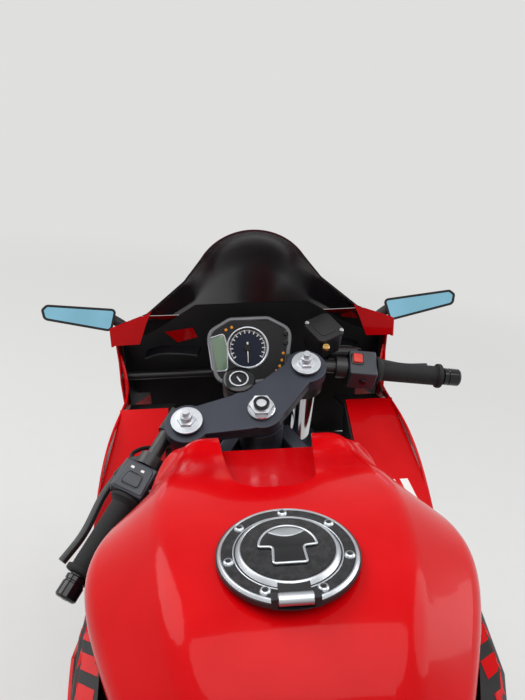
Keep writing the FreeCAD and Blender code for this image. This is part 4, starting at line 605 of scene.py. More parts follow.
@dataclass
class Piece:
    """One piece of the dressed bike: rows of points in metres, a finish and the body it rides on.

    Its rows are closed into rings if around, and the rings at both ends if ends; a wall is a
    thickness in metres, a crease an angle in degrees from which an edge is sharp.
    """

    name: str
    parts: Sequence[Array]
    finish: Finish
    body: str = "frame"
    replaces: tuple[str, ...] = ()
    around: bool = True
    ends: bool = True
    wall: float = 0.0
    crease: float = 35.0
    slot: str = ""

    def mesh(self) -> bpy.types.Mesh:
        """Makes the mesh.

        Returns:
            Quads between neighbouring rows, closed round and at the ends where asked.
        """
        verts: list[Array] = []
        faces: list[list[int]] = []
        start = 0
        for rings in self.parts:
            rows, cols = rings.shape[:2]
            i = start + np.arange(rows - 1)[:, None] * cols
            j = np.arange(cols if self.around else cols - 1)[None, :]
            k = (j + 1) % cols
            faces += np.stack([i + j, i + k, i + cols + k, i + cols + j], -1).reshape(-1, 4).tolist()
            if self.around and self.ends:
                faces.append([start + c for c in range(cols)][::-1])
                faces.append([start + (rows - 1) * cols + c for c in range(cols)])
            verts.append(rings.reshape(-1, 3))
            start += rows * cols
        mesh = bpy.data.meshes.new(self.name)
        mesh.from_pydata(np.concatenate(verts).tolist(), [], faces)
        shape = bmesh.new()
        shape.from_mesh(mesh)
        bmesh.ops.remove_doubles(shape, verts=shape.verts, dist=MERGE)
        bmesh.ops.recalc_face_normals(shape, faces=shape.faces)
        shape.to_mesh(mesh)
        shape.free()
        mesh.shade_smooth()
        mesh.set_sharp_from_angle(angle=math.radians(self.crease))
        mesh.materials.append(self.finish.build())
        return mesh

    def build(self) -> None:
        """Adds the piece to the scene, on its body and with what it stands for."""
        obj = linked(self.name, self.mesh())
        if self.wall:
            skin = obj.modifiers.new("wall", "SOLIDIFY")
            skin.thickness, skin.offset = self.wall, -1.0
        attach(obj, self.body)
        if self.replaces:
            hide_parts(*self.replaces)
        LOG.info("%s: %d points", self.name, len(obj.data.vertices))


SOFT_EDGES: dict[str, float] = {
    "top_yoke": 0.0018, "lower_yoke": 0.002, "yoke_caps": 0.0006, "clip_ons": 0.0012, "switchgear": 0.001,
    "ignition_switch": 0.001, "hand_levers": 0.0012, "instrument_case": 0.002, "fork_sliders": 0.0012,
    "front_calipers": 0.002, "main_frame": 0.003, "swingarm": 0.003, "engine": 0.003, "rider_pegs": 0.0012,
    "passenger_pegs": 0.0012, "rear_brake": 0.002, "radiator": 0.0015, "side_stand": 0.0015,
}


@dataclass
class SoftenedNodes:
    """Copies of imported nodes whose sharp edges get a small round: widths in metres, angles in degrees."""

    frame: dict
    widths: dict[str, float]
    flat: float = 1.0
    sharp: float = 30.0
    segments: int = 2

    def build(self) -> None:
        """Merges each copy, joins its flat triangles and rounds its sharp edges."""
        bodies = self.frame["record"]["behaviour"]["bodies"]
        for name, width in self.widths.items():
            mesh = self.frame["nodes"][name].data.copy()
            shape = bmesh.new()
            shape.from_mesh(mesh)
            bmesh.ops.remove_doubles(shape, verts=shape.verts, dist=MERGE)
            bmesh.ops.dissolve_limit(shape, angle_limit=math.radians(self.flat), verts=shape.verts,
                                     edges=shape.edges)
            shape.to_mesh(mesh)
            shape.free()
            mesh.shade_smooth()
            mesh.set_sharp_from_angle(angle=math.radians(self.sharp))
            mesh.materials.clear()
            mesh.materials.append(node_finish(self.frame, name).build())
            obj = linked(name + "_rounded", mesh)
            edge = obj.modifiers.new("edge", "BEVEL")
            edge.width, edge.segments, edge.limit_method = width, self.segments, "ANGLE"
            edge.angle_limit = math.radians(self.sharp)
            edge.harden_normals = True
            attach(obj, next(b for b, names in bodies.items() if name in names))
            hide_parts(name)
            LOG.info("%s: edges of %.1f mm", obj.name, width * 1000)


# Cockpit

@dataclass
class FuelCap:
    """Trims, bolts and key flap of the round filler cap; its lid turns on the rear hinge.

    Local points are ahead, across and up from the cap's face, in millimetres.
    """

    stance: Stance
    centre: tuple[float, float, float] = (715.0, 0.0, 987.5)
    tilt: float = 6.0
    ring_r: float = 60.0
    ring_t: float = 4.0
    lid_r: float = 41.0
    lid_top: float = 8.3
    bolt_r: float = 50.5
    bolt_lift: float = 1.2
    bolts: int = 7
    key_half: float = 24.5
    key_reach: float = 25.8
    moon_half: float = 15.5
    steps: int = 96
    spot: Spot = field(init=False)

    def __post_init__(self) -> None:
        """Sets the cap's frame: the third axis is square to its face."""
        self.spot = Spot(np.array(self.centre), turn_matrix((0, 1, 0), self.tilt).T, self.stance.bike)

    def hoop(self, radius: float, level: float, half: float, rise: float) -> Array:
        """A low half-round ring: radius + half cos t, level + rise sin t."""
        rows = [(level + rise * math.sin(t), radius + half * math.cos(t)) for t in np.linspace(0, math.pi, 9)]
        return self.spot(turned(rows, self.steps))

    def bevel(self, radius: float, top: float, low: float, run: float) -> Array:
        """A conical edge: a lip, then a slope.

        Args:
            radius: radius of the lip.
            top: height of the lip.
            low: height of the slope's foot.
            run: how far the foot lies outside the lip.

        Returns:
            Rings in the model's frame.
        """
        foot = radius + run
        rows = [(top - 0.6, radius - 1.4), (top, radius - 1.0), (top + 0.2, radius),
                (top - 0.3, radius + 0.8), (low + 0.4, foot - 0.4), (low, foot), (low - 0.6, foot)]
        return self.spot(turned(rows, self.steps))

    def bolt_place(self, index: int) -> Array:
        """Where a bolt sits: evenly round the ring, a little above its face."""
        x, y = self.bolt_r * turn_matrix((0, 0, 1), 360 * index / self.bolts)[:2, 0]
        return np.array([x, y, self.ring_t + self.bolt_lift])

    def ring(self) -> None:
        """Builds the fixed ring's lips, the bolts, a dark cup in each bolt's socket that is painted shade,
        and the woven band.
        """
        lips = [self.bevel(self.ring_r - 3.2, self.ring_t + 2.2, self.ring_t + 0.2, 2.0),
                self.hoop(self.lid_r + 4.4, self.ring_t + 1.5, 0.6, 0.5)]
        Piece("cap_trims", lips, SILVER, ends=False, slot="bright_metal").build()
        places = [self.bolt_place(k) for k in range(self.bolts)]
        button = turned([(-1.0, 4.7), (0.6, 4.7), (1.9, 4.0), (2.6, 3.0), (2.6, 2.5), (0.9, 2.3),
                         (0.9, 0.01)], 18)
        Piece("cap_bolts", [self.spot(button + at) for at in places], SILVER, slot="bright_metal").build()
        # Black cups on the floor of the bolts' sockets: painted shade in the recesses.
        dark = turned([(1.0, 2.25), (1.25, 1.8), (1.25, 0.01)], 12)
        sockets = [self.spot(dark + at) for at in places]
        Piece("bolt_socket_shade", sockets, BLACK_GLOSS, ends=False, slot="black_metal").build()
        hole = circle(self.lid_r + 2.0, self.steps)
        band = np.stack([at_height(circle(self.ring_r - 4.0, self.steps), self.ring_t + 1.5),
                         at_height(hole, self.ring_t + 1.5), at_height(hole, self.ring_t + 0.1)])
        Piece("cap_infill", [self.spot(band)], CARBON, ends=False, slot="black_metal").build()

    def key(self) -> None:
        """Builds the key flap: a head round as half an ellipse on a stem, its bright edge and its moon.

        The moon lies between two arcs across the flap: the head's ellipse moved back by 3.2 mm,
        and a parabola through its ends that is 6 mm deep.
        """
        head = [(self.key_reach * math.sin(t), -self.key_half * math.cos(t), 0.0)
                for t in np.linspace(0.1, math.pi - 0.1, 25)]
        plan = outline([(-21.5, 14, 2.5), (-21.5, -14, 2.5), (-1.5, -13, 3), (-0.5, -self.key_half, 1.5),
                        *head, (-0.5, self.key_half, 1.5), (-1.5, 13, 3)])
        flap = [self.spot(slab(plan, self.lid_top - 0.2, self.lid_top + 2.2, 0.8))]
        Piece("key_flap", flap, BLACK_GLOSS, body="fuel_lid", slot="black_metal").build()
        loop = at_height(moved_in(plan, 0.4), self.lid_top + 2.0)
        loop = np.concatenate([loop, loop[:1]])
        edge = [self.spot(piped(loop, circle(1.15, 10)))]
        Piece("key_flap_edge", edge, SILVER, body="fuel_lid", slot="bright_metal").build()
        y = np.linspace(-self.moon_half, self.moon_half, 21)
        over = self.key_reach * np.sqrt(1 - (y / self.key_half) ** 2) - 3.2
        under = over[0] - 6.0 * (1 - (y / self.moon_half) ** 2)
        lens = np.concatenate([np.stack([under, y], 1), np.stack([over, y], 1)[-2:0:-1]])
        moon = [self.spot(slab(lens, self.lid_top + 2.0, self.lid_top + 3.0, 0.7))]
        Piece("key_moon", moon, SILVER, body="fuel_lid", slot="bright_metal").build()

    def build(self) -> None:
        """Builds the ring, the lid's trim, key flap and woven face, and the hinge's cover."""
        self.ring()
        trim = [self.bevel(self.lid_r - 0.4, self.lid_top + 0.8, self.ring_t + 1.7, 3.0)]
        Piece("lid_trim", trim, SILVER, body="fuel_lid", ends=False, slot="bright_metal").build()
        self.key()
        disc = np.stack([at_height(circle(radius, self.steps), self.lid_top + 0.3 + rise)
                         for radius, rise in ((self.lid_r - 2.6, 0.0), (self.lid_r * 0.6, 0.3), (0.01, 0.4))])
        infill = [self.spot(disc)]
        Piece("lid_infill", infill, CARBON, body="fuel_lid", ends=False, slot="black_metal").build()
        barrel = turned([(-13.4, 0.0), (-13.4, 4.0), (-12.8, 4.8), (12.8, 4.8), (13.4, 4.0), (13.4, 0.0)], 24)
        cover = [self.spot(barrel[..., [0, 2, 1]] + np.array([-self.ring_r + 4, 0, 7.0]))]
        Piece("lid_hinge_cover", cover, SILVER, body="fuel_lid", slot="bright_metal").build()


@dataclass
class Bars:
    """Grips, bar ends, switches and the hydraulics on the two clip-on bars.

    Local points are along the bar from its root, forward of it and up from it, in millimetres.
    The switch boxes' tops lean by the angle whose cosine and sine are given.
    """

    stance: Stance
    root: tuple[float, float, float] = (66.0, 118.0, -34.5)
    sweep: float = 34.0
    drop: float = 4.5
    bar_r: float = 11.1
    length: float = 242.0
    grip_length: float = 113.0
    grip_r: float = 16.4
    ribs: int = 25
    rib_pitch: float = 3.55
    weight_length: float = 29.0
    weight_r: float = 14.5
    box_tilt: tuple[float, float] = (0.996, 0.092)

    def spot(self, side: int) -> Spot:
        """The frame of one bar.

        Args:
            side: 1 for the left bar and -1 for the right one.

        Returns:
            The frame: along the bar, forward and up.
        """
        s, d = math.radians(self.sweep), math.radians(self.drop)
        way = np.array([-math.sin(s) * math.cos(d), math.cos(s) * math.cos(d), -math.sin(d)])
        ahead = np.cross(way, (0, 0, 1))
        ahead /= np.linalg.norm(ahead)
        up = np.cross(ahead, way)
        axes = np.stack([way, ahead, up]) * np.array([1, side, 1])
        return Spot(np.array(self.root) * np.array([1, side, 1]), axes, self.stance.head)

    def rear(self, side: int, origin: tuple[float, float, float]) -> Spot:
        """A frame on a switch box's rear face: along the bar, up, and out of the face."""
        return Spot(np.array(origin), np.array([[1.0, 0, 0], [0, 0, 1.0], [0, -1.0, 0]]), self.spot(side))

    def top(self, side: int, origin: tuple[float, float, float]) -> Spot:
        """A frame on a switch box's top: along the bar, forward, and out of the leaning face."""
        cos, sin = self.box_tilt
        return Spot(np.array(origin), np.array([[1.0, 0, 0], [0, cos, sin], [0, -sin, cos]]), self.spot(side))

    def grip(self) -> Array:
        """A grip with ribs, a flange inside and a collar outside.

        Returns:
            Rings about the bar: radius r + 0.1 on each rib and r - 0.2 beside it.
        """
        start = self.length - self.grip_length - 2
        end = start + self.grip_length
        rows = [(start, self.bar_r + 0.4), (start, 22.0), (start + 1.2, 23.0), (start + 5, 22.6),
                (start + 6.5, 20.5), (start + 9, 18.0)]
        for x in start + 12 + self.rib_pitch * np.arange(self.ribs):
            rows += [(x, self.grip_r - 0.2), (x + 0.9, self.grip_r + 0.1), (x + 2.2, self.grip_r + 0.1),
                     (x + 3.1, self.grip_r - 0.2)]
        rows += [(end - 9.5, self.grip_r), (end - 8.5, 20.0), (end - 7.5, 20.5), (end - 3, 20.5),
                 (end - 1.6, 19.8), (end - 0.5, 17.0), (end, self.bar_r + 0.4)]
        return np.roll(turned(rows, 48), 1, -1)

    def weight(self) -> Array:
        """A bar end with a groove and a countersunk face.

        Returns:
            Rings about the bar, from its end outwards.
        """
        start, end, r = self.length + 0.3, self.length + 0.3 + self.weight_length, self.weight_r
        rows = [(start, 0), (start, r - 1), (start + 1, r), (start + 6, r), (start + 7, r - 1.2),
                (start + 8.5, r - 1.2), (start + 9.5, r), (end - 3, r), (end - 0.8, r - 1.6), (end, r - 3.5),
                (end, 4.6), (end - 3, 3.8), (end - 3, 0)]
        return np.roll(turned(rows, 48), 1, -1)

    def kill_switch(self) -> None:
        """Builds the red rocker and its well on the right box."""
        top = self.top(-1, (93.0, 4.0, 20.0))
        well = [top(slab(rectangle((-10.5, -11.5), (10.5, 11.5), 4), -2.0, 1.8, 1.0))]
        Piece("kill_switch_well", well, BLACK_GLOSS, "steering", slot="black_plastic").build()
        rocker = [top(slab(rectangle((-8, -9), (8, 9), 3), 1.0, 5.2, 1.8))]
        Piece("kill_switch", rocker, KILL_RED, "steering", slot="red_lens").build()

    def left_box(self) -> None:
        """Builds the left box's top plate, its button, a dark band round the button that is painted shade,
        and two plain marks.
        """
        top = self.top(1, (103.0, -1.3, 21.6))
        plate = outline([(-21, -21, 9), (20, -23, 3), (20, 22, 3), (-21, 18, 10)], 8)
        button = outline([(-5, -12, 3), (13, -14, 4), (13, 12, 4), (-5, 10, 3)])
        raised = [top(slab(plate, -1.2, 1.8, 1.4)), top(slab(button, 1.0, 4.0, 1.6))]
        Piece("switch_plate", raised, SWITCH_GREY, "steering", slot="black_plastic").build()
        # A dark band just outside the button, a little above the plate: painted shade for the shadow at the
        # pressed button's side.
        groove = [top(slab(moved_in(button, -1.6), 1.0, 2.1, 0.3))]
        Piece("switch_button_shade", groove, BLACK_GLOSS, "steering", slot="black_plastic").build()
        marks = [top(slab(rectangle((x - 1.8, y - 2.6), (x + 1.8, y + 2.6), 1), 1.6, 2.1, 0.2))
                 for x, y in ((-12.5, 9.0), (-12.0, -7.0))]
        Piece("switch_marks", marks, WHITE_FILM, "steering", slot="black_plastic").build()

    def buttons(self) -> None:
        """Builds the buttons on both boxes' rear faces and the signal switch, a bent round bar."""
        left = self.rear(1, (100.0, -26.0, 0.0))
        knobs = [self.rear(-1, (104.0, -25.0, -2.0))(slab(circle(6.0, 28), -1.0, 3.0, 1.2)),
                 left(slab(circle(5.4, 28, (-2.0, 1.0)), -1.0, 4.5, 1.4)),
                 left(slab(rectangle((-14, -17), (6, -11), 2), -1.0, 3.2, 1.2)),
                 left(slab(circle(5.0, 24, (14.0, -9.0)), -1.0, 2.6, 1.0))]
        Piece("switch_buttons", knobs, BLACK_GLOSS, "steering", slot="black_plastic").build()
        bow = eased([(-11, 11, 2), (-12, 0, 3.0), (-8, -8, 3.4), (2, -9.5, 3.4), (8, -3, 3.0), (8, 11, 2)], 6)
        signal = [left(piped(bow, circle(1.8, 10)))]
        Piece("signal_switch", signal, BEZEL, "steering", slot="black_plastic").build()

    def reservoir(self) -> None:
        """Builds the brake fluid cup's lid with its screws, and the hose's union."""
        head = self.stance.head
        lid = [head(slab(rectangle((52.5, -146.5), (107.5, -197.5), 10), 6.0, 14.0, 1.6, 0.8)),
               head(slab(rectangle((62, -156), (98, -188), 8), 13.0, 15.2, 1.0))]
        Piece("reservoir_lid", lid, BLACK_PLASTIC, "steering", slot="black_plastic").build()
        screw = turned([(13.0, 3.6), (15.4, 3.6), (16.4, 2.8), (16.4, 0.01)], 20)
        screws = [head(screw + np.array([x, y, 0])) for x, y in ((101.5, -152.5), (58.5, -191.5))]
        Piece("reservoir_screws", screws, SILVER, "steering", slot="bright_metal").build()
        stud = turned([(12.0, 6.0), (16.6, 6.0), (17.8, 5.0), (17.8, 2.4), (16.8, 2.0), (16.8, 0.01)], 24)
        union = [head(stud + np.array([46.0, -152.0, -8.0]))]
        Piece("hose_union", union, BRASS, "steering", slot="bright_metal").build()

    def lines(self) -> None:
        """Builds cables and hose down past the lower yoke: round bars on eased paths in the head."""
        clutch = [(57, 192, -54), (69, 184, -60), (76, 158, -78), (68, 108, -114), (60, 60, -150),
                  (50, 20, -200)]
        throttles = [[(44, -150 - gap, -30), (60, -142 - gap, -46), (68, -112 - gap, -82),
                      (64, -70, -116 + gap), (60, -34, -150), (52, -12 - gap, -195)] for gap in (0, 7)]
        hose = [(69, -178, -44), (76, -158, -62), (72, -114, -98), (64, -70, -146), (56, -34, -195),
                (52, -24, -214)]
        cords = ((clutch, 3.2), (throttles[0], 2.8), (throttles[1], 2.8), (hose, 4.2))
        rows = [self.stance.head(piped(eased(points, 10), circle(radius, 12), (0.2, 0.1, 1.0)))
                for points, radius in cords]
        Piece("control_lines", rows, RUBBER, "steering", slot="rubber").build()

    def build(self) -> None:
        """Builds both sides' pieces."""
        left, right = self.spot(1), self.spot(-1)
        self.kill_switch()
        self.left_box()
        self.buttons()
        self.reservoir()
        self.lines()
        grips = [left(self.grip()), right(self.grip())]
        Piece("grip_rubbers", grips, RUBBER, "steering", ("grips",), ends=False).build()
        weights = [left(self.weight()), right(self.weight())]
        Piece("bar_end_weights", weights, BLACK_GLOSS, "steering", slot="black_metal").build()


@dataclass
class Cockpit:
    """Face of the instruments, the ignition lock and the stem nut's insert.

    The instruments' local first axis runs up their face and the third leaves it.
    """

    stance: Stance
    tilt: float = -66.0
    ahead: float = 154.0
    across: float = 9.0
    height: float = 943.0
    dial_r: float = 33.0
    dial: tuple[float, float] = (4.0, 4.0)
    dial_sweep: float = 250.0
    mark_levels: tuple[float, float] = (-2.8, -2.2)
    lock_u: float = 66.0
    spot: Spot = field(init=False)

    def __post_init__(self) -> None:
        """Sets the instruments' frame."""
        origin = np.array([self.stance.head_x + self.ahead, self.across, self.height])
        self.spot = Spot(origin, turn_matrix((0, 1, 0), self.tilt).T, self.stance.bike)

    def ticks(self, count: int, inner: float, outer: float, half: float) -> list[Array]:
        """Radial bars over the dial's sweep.

        Args:
            count: how many.
            inner: radius at which they start.
            outer: radius at which they end.
            half: half of their width.

        Returns:
            A thin slab at each angle.
        """
        made = []
        bar = np.array([(inner, -half), (outer, -half), (outer, half), (inner, half)])
        for angle in np.linspace(-self.dial_sweep / 2, self.dial_sweep / 2, count):
            flat = bar @ turn_matrix((0, 0, 1), angle)[:2, :2].T + np.array(self.dial)
            made.append(self.spot(slab(flat, *self.mark_levels, 0.0)))
        return made

    def face(self) -> None:
        """Builds the case's rim and the dial with its marks and needle."""
        case = outline([(-56, -62, 22), (-60, 0, 0), (-56, 62, 22), (34, 76, 26), (58, 34, 24), (58, -34, 24),
                        (34, -76, 26)], 10)
        rim = stepped(case, ((1.0, -0.6), (1.0, 1.2), (2.2, 2.4), (5.8, 2.4), (7.6, 1.0), (8.2, -0.4)))
        Piece("instrument_bezel", [self.spot(rim)], BEZEL, ends=False, slot="bright_metal").build()
        at = np.array([*self.dial, 0])
        ring = turned([(-3.0, self.dial_r - 0.4), (0.8, self.dial_r - 0.2), (2.0, self.dial_r + 1.4),
                       (1.8, self.dial_r + 3.2), (-0.4, self.dial_r + 4.0)], 96)
        Piece("dial_rim", [self.spot(ring + at)], SILVER, ends=False, slot="bright_metal").build()
        marks = self.ticks(16, 25.0, 31.0, 0.9) + self.ticks(76, 28.5, 31.0, 0.3)
        Piece("dial_marks", marks, WHITE, slot="dial").build()
        needle = np.array([(10, 1.5), (-26, 0.6), (-26, -0.6), (10, -1.5)]) + np.array(self.dial)
        Piece("dial_needle", [self.spot(slab(needle, -0.9, 0.3, 0.3))], NEEDLE, slot="dial").build()
        hub = turned([(-2.4, 6.0), (0.6, 6.0), (1.6, 5.0), (1.8, 0.01)], 32)
        Piece("dial_hub", [self.spot(hub + at)], BLACK_GLOSS, slot="black_plastic").build()

    def displays(self) -> None:
        """Builds the display with its frame, the warning lamps and the buttons."""
        glass = outline([(-34, 40, 5), (-34, 66, 8), (22, 72, 8), (30, 44, 5), (6, 38.5, 4)])
        Piece("speed_display", [self.spot(slab(glass, -0.5, 0.9, 0.6))], DISPLAY, slot="dial").build()
        frame = stepped(glass, ((-1.0, 0.0), (-0.8, 1.6), (0.6, 1.7), (1.4, 0.9)))
        Piece("display_frame", [self.spot(frame)], SILVER, ends=False, slot="bright_metal").build()
        places = ((36, 40), (40, 30), (-38, -44), (-30, -50), (-20, -54), (-8, -57))
        lamps = [self.spot(slab(circle(2.6, 20, place), -0.5, 0.9, 0.6)) for place in places]
        Piece("warning_lamps", lamps, AMBER, slot="amber_lens").build()
        buttons = [self.spot(slab(circle(4.2, 24, (x, -62)), -0.5, 3.0, 1.0)) for x in (10, 26)]
        Piece("cluster_buttons", buttons, BLACK_GLOSS, slot="black_plastic").build()

    def lock(self) -> None:
        """Builds the ignition lock's cover, ring and key slot."""
        head, at = self.stance.head, np.array([self.lock_u, 0, 0])
        cover = turned([(-3.0, 25.2), (0.4, 25.2), (2.2, 24.0), (3.0, 21.5), (3.0, 12.6), (1.0, 12.0),
                        (1.0, 0.01)], 64)
        Piece("lock_cover", [head(cover + at)], BLACK_GLOSS, "steering", slot="black_metal").build()
        ring = turned([(2.6, 15.2), (3.6, 15.0), (3.8, 14.0), (3.6, 13.0), (2.0, 12.6)], 64)
        Piece("lock_ring", [head(ring + at)], SILVER, "steering", ends=False, slot="bright_metal").build()
        slot = slab(rectangle((-6.0, -1.3), (6.0, 1.3), 1.2), 0.6, 1.6, 0.3)
        Piece("lock_slot", [head(slot + at)], SILVER, "steering", slot="bright_metal").build()

    def build(self) -> None:
        """Builds the instruments' face, the lock, and the insert and flange on the stem nut."""
        self.face()
        self.displays()
        self.lock()
        head = self.stance.head
        insert = turned([(12.0, 12.2), (16.6, 12.2), (17.6, 11.0), (17.6, 7.6), (15.0, 7.0),
                         (15.0, 0.01)], 48)
        Piece("stem_insert", [head(insert)], BLACK_GLOSS, "steering", slot="black_metal").build()
        flange = turned([(2.6, 20.6), (4.6, 20.6), (5.6, 19.6), (5.6, 15.0)], 64)
        Piece("stem_flange", [head(flange)], CHROME, "steering", ends=False, slot="bright_metal").build()


# Bodywork

@dataclass
class Bodywork:
    """Films, screws and lamps on the fairings and under the tank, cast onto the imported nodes.

    Places are in the upright bike, and those of the nose are ahead of the steering head. Rays
    onto a node start above, beside or in front of it. The walls and the bulb's depth are in metres.
    """

    stance: Stance
    nodes: dict
    film_lift: float = 0.3
    stripe_gap: float = 20.0
    knee_bars: int = 5
    knee_pitch: float = 28.0
    knee_start: float = 664.0
    sheet_wall: float = 0.002
    bowl_wall: float = 0.0015
    bulb_depth: float = 0.043
    above: float = 1300.0
    beside: float = 420.0
    in_front: float = 520.0

    def skin(self, name: str) -> Skin:
        """The surface of one node."""
        return Skin(self.nodes[name], self.stance)

    def set_on(self, shape: Array, turn: Array, point: Array) -> Array:
        """A small shape in millimetres, turned in the upright bike and set on a point in metres."""
        return (shape @ turn.T @ self.stance.turn.T) / 1000 + point

    def ledges(self) -> None:
        """Builds the nose's red ledges beside the instruments: films cast ahead onto the black panels."""
        panels = self.skin("inner_panels")
        left = [(1084.6, 140.9, 1043.9), (1084.5, 88.0, 1050.6), (1076.5, 79.1, 1034.0),
                (1075.0, 116.8, 1025.8)]
        right = [(1082.1, -129.0, 1073.5), (1081.4, -105.3, 1068.8), (1075.3, -111.6, 1056.1),
                 (1072.1, -141.9, 1053.0)]
        films = [panels.sheet(corners, way, 1.0, (8, 6))
                 for corners, way in ((left, (0.921, 0.089, -0.379)), (right, (0.915, -0.208, -0.346)))]
        Piece("dash_ledges", films, RED, around=False, slot="red_paint").build()

    def stays(self) -> None:
        """Builds the glossy stays from the nose to the instruments: flat bars on eased paths."""
        x = self.stance.head_x
        section = outline([(-2, -11, 1.5), (2, -11, 1.5), (2, 11, 1.5), (-2, 11, 1.5)], 4)
        bars = []
        for side in (1, -1):
            path = [(x + 218, side * 196, 914), (x + 208, side * 168, 926), (x + 194, side * 130, 930),
                    (x + 184, side * 98, 930)]
            bars.append(self.stance.bike(piped(eased(path, 6), section, (1.0, 0.0, 0.35))))
        Piece("dash_stays", bars, BLACK_GLOSS, slot="black_plastic").build()

    def rubber_sheet(self, name: str, ahead: float, bow: float, half: float, low: float, high: float,
                     rows: int) -> None:
        """Builds an upright rubber sheet: x = ahead - bow (y / half)^2.

        Args:
            name: the piece's name.
            ahead: its middle, ahead of the steering head.
            bow: how far its sides lie behind its middle.
            half: half of its width.
            low: height of its lower edge.
            high: height of its upper edge.
            rows: rows of points from one to the other.
        """
        y, z = np.meshgrid(np.linspace(-half, half, 25), np.linspace(low, high, rows))
        x = self.stance.head_x + ahead - bow * (y / half) ** 2
        sheet = [self.stance.bike(np.stack([x, y, z], -1))]
        Piece(name, sheet, RUBBER, around=False, wall=self.sheet_wall, slot="rubber").build()

    def fasteners(self) -> None:
        """Builds the side fairings' quarter-turn screws: heads with a blind socket that face sideways."""
        heads = []
        profile = turned([(-1.5, 7.0), (0.4, 7.0), (1.4, 5.8), (1.8, 3.0), (1.0, 2.6), (1.0, 0.01)], 24)
        places = ((170, 700), (96, 560), (-20, 420), (-150, 352), (-300, 372), (-352, 520), (-300, 660),
                  (-120, 730))
        for side, name in ((1, "side_fairing_left"), (-1, "side_fairing_right")):
            skin = self.skin(name)
            for ahead, height in places:
                start = (self.stance.head_x + ahead, side * self.beside, height)
                point = skin.at(start, (0, -side, 0), 0.4)
                heads.append(self.set_on(profile[..., [0, 2, 1]] * np.array([1, side, 1]), np.eye(3), point))
        Piece("fairing_screws", heads, BLACK_GLOSS, slot="black_plastic").build()

    def stripes(self) -> None:
        """Builds two white films across each deck and slanted red ones on each black knee panel."""
        decks, knees = [], []
        for side, name in ((1, "side_fairing_left"), (-1, "side_fairing_right")):
            deck, knee = self.skin(name), self.skin("knee_panels")
            for y in (190.0, 190.0 + self.stripe_gap):
                flat = [(1047, side * y, 900), (1047, side * (y + 12), 900), (1004, side * (y + 22), 900),
                        (1004, side * (y + 10), 900)]
                decks.append(deck.sheet(flat, (0, 0, -1), self.film_lift, (4, 8)))
            for x in self.knee_start + self.knee_pitch * np.arange(self.knee_bars):
                outer, near, far = side * 260, side * 168, side * 195
                face = [(x - 4, outer, 866), (x + 12, outer, 866), (x + 34, outer, 812), (x + 18, outer, 812)]
                knees.append(knee.sheet(face, (0, -side, 0), self.film_lift, (4, 8)))
                over = [(x - 20, near, 900), (x - 4, near, 900), (x + 12, far, 900), (x - 4, far, 900)]
                knees.append(knee.sheet(over, (0, 0, -1), self.film_lift, (4, 6)))
        Piece("deck_stripes", decks, WHITE_FILM, around=False, slot="red_paint").build()
        Piece("knee_stripes", knees, RED, around=False, slot="red_paint").build()

    def screws(self) -> None:
        """Builds the button screws along the screen's lower edge and on the wing tips."""
        down = (0, 0, -1)
        screen, heads = self.skin("windscreen"), []
        button = turned([(-1.5, 4.4), (0.6, 4.4), (1.8, 3.4), (2.2, 1.6), (1.2, 1.4), (1.2, 0.01)], 20)
        for side in (1, -1):
            tilt = turn_matrix((side, 0, 0), -30) @ turn_matrix((0, 1, 0), 30)
            for ahead, across in ((206, 160), (246, 140), (292, 100), (330, 52)):
                point = screen.at((self.stance.head_x + ahead, side * across, self.above), down, 0.4)
                heads.append(self.set_on(button, tilt, point))
        Piece("screen_screws", heads, BLACK_GLOSS, slot="black_plastic").build()
        nose, heads = self.skin("upper_fairing"), []
        button = turned([(-1.0, 4.0), (0.8, 4.0), (1.8, 3.2), (2.1, 1.8), (1.2, 1.5), (1.2, 0.01)], 20)
        for side in (1, -1):
            for ahead, across in ((206, 212), (222, 186)):
                point = nose.at((self.stance.head_x + ahead, side * across, self.above), down, 0.3)
                heads.append(self.set_on(button, turn_matrix((side, 0, 0), -25), point))
        Piece("wing_screws", heads, SILVER, slot="bright_metal").build()

    def lamps(self) -> None:
        """Builds the headlights' bowls and bulbs: the lens's outline shrinks as the bowl goes back."""
        lens = self.skin("headlights")
        shape = [(34, 846, 8), (118, 884, 14), (150, 876, 14), (138, 838, 16), (60, 806, 12), (30, 818, 8)]
        edge = moved_in(outline(shape, 5), 5.0)
        back = self.stance.turn @ np.array([-1.0, 0, 0])
        glass = turned([(0.0, 4.0), (9.0, 4.0), (12.0, 6.0), (20.0, 6.0), (25.0, 3.6), (26.5, 0.01)], 20)
        steps = ((1.0, 0.0045), (0.94, 0.014), (0.80, 0.026), (0.55, 0.036), (0.22, 0.042), (0.01, 0.042))
        bowls, bulbs = [], []
        for side in (1, -1):
            start = self.stance.head_x + self.in_front
            front = np.array([lens.at((start, side * y, z), (-1, 0, 0)) for y, z in edge])
            middle = front.mean(axis=0)
            rows = [middle + (front - middle) * share + back * depth for share, depth in steps]
            bowls.append(np.array(rows))
            seat = middle + back * self.bulb_depth
            bulbs.append(self.set_on(glass[..., [2, 0, 1]], np.eye(3), seat))
        Piece("headlight_reflectors", bowls, REFLECTOR, replaces=("headlight_bowls",), ends=False,
              wall=self.bowl_wall).build()
        Piece("headlight_bulbs", bulbs, BULB, slot="clear_lens").build()

    def build(self) -> None:
        """Builds the films, stays, sheets, screws and lamps."""
        self.ledges()
        self.stays()
        self.rubber_sheet("air_guide", -18, 14, 124, 690, 838, 7)
        self.rubber_sheet("nose_apron", 258, 12, 196, 640, 708, 5)
        self.fasteners()
        self.stripes()
        self.screws()
        self.lamps()


# Seats

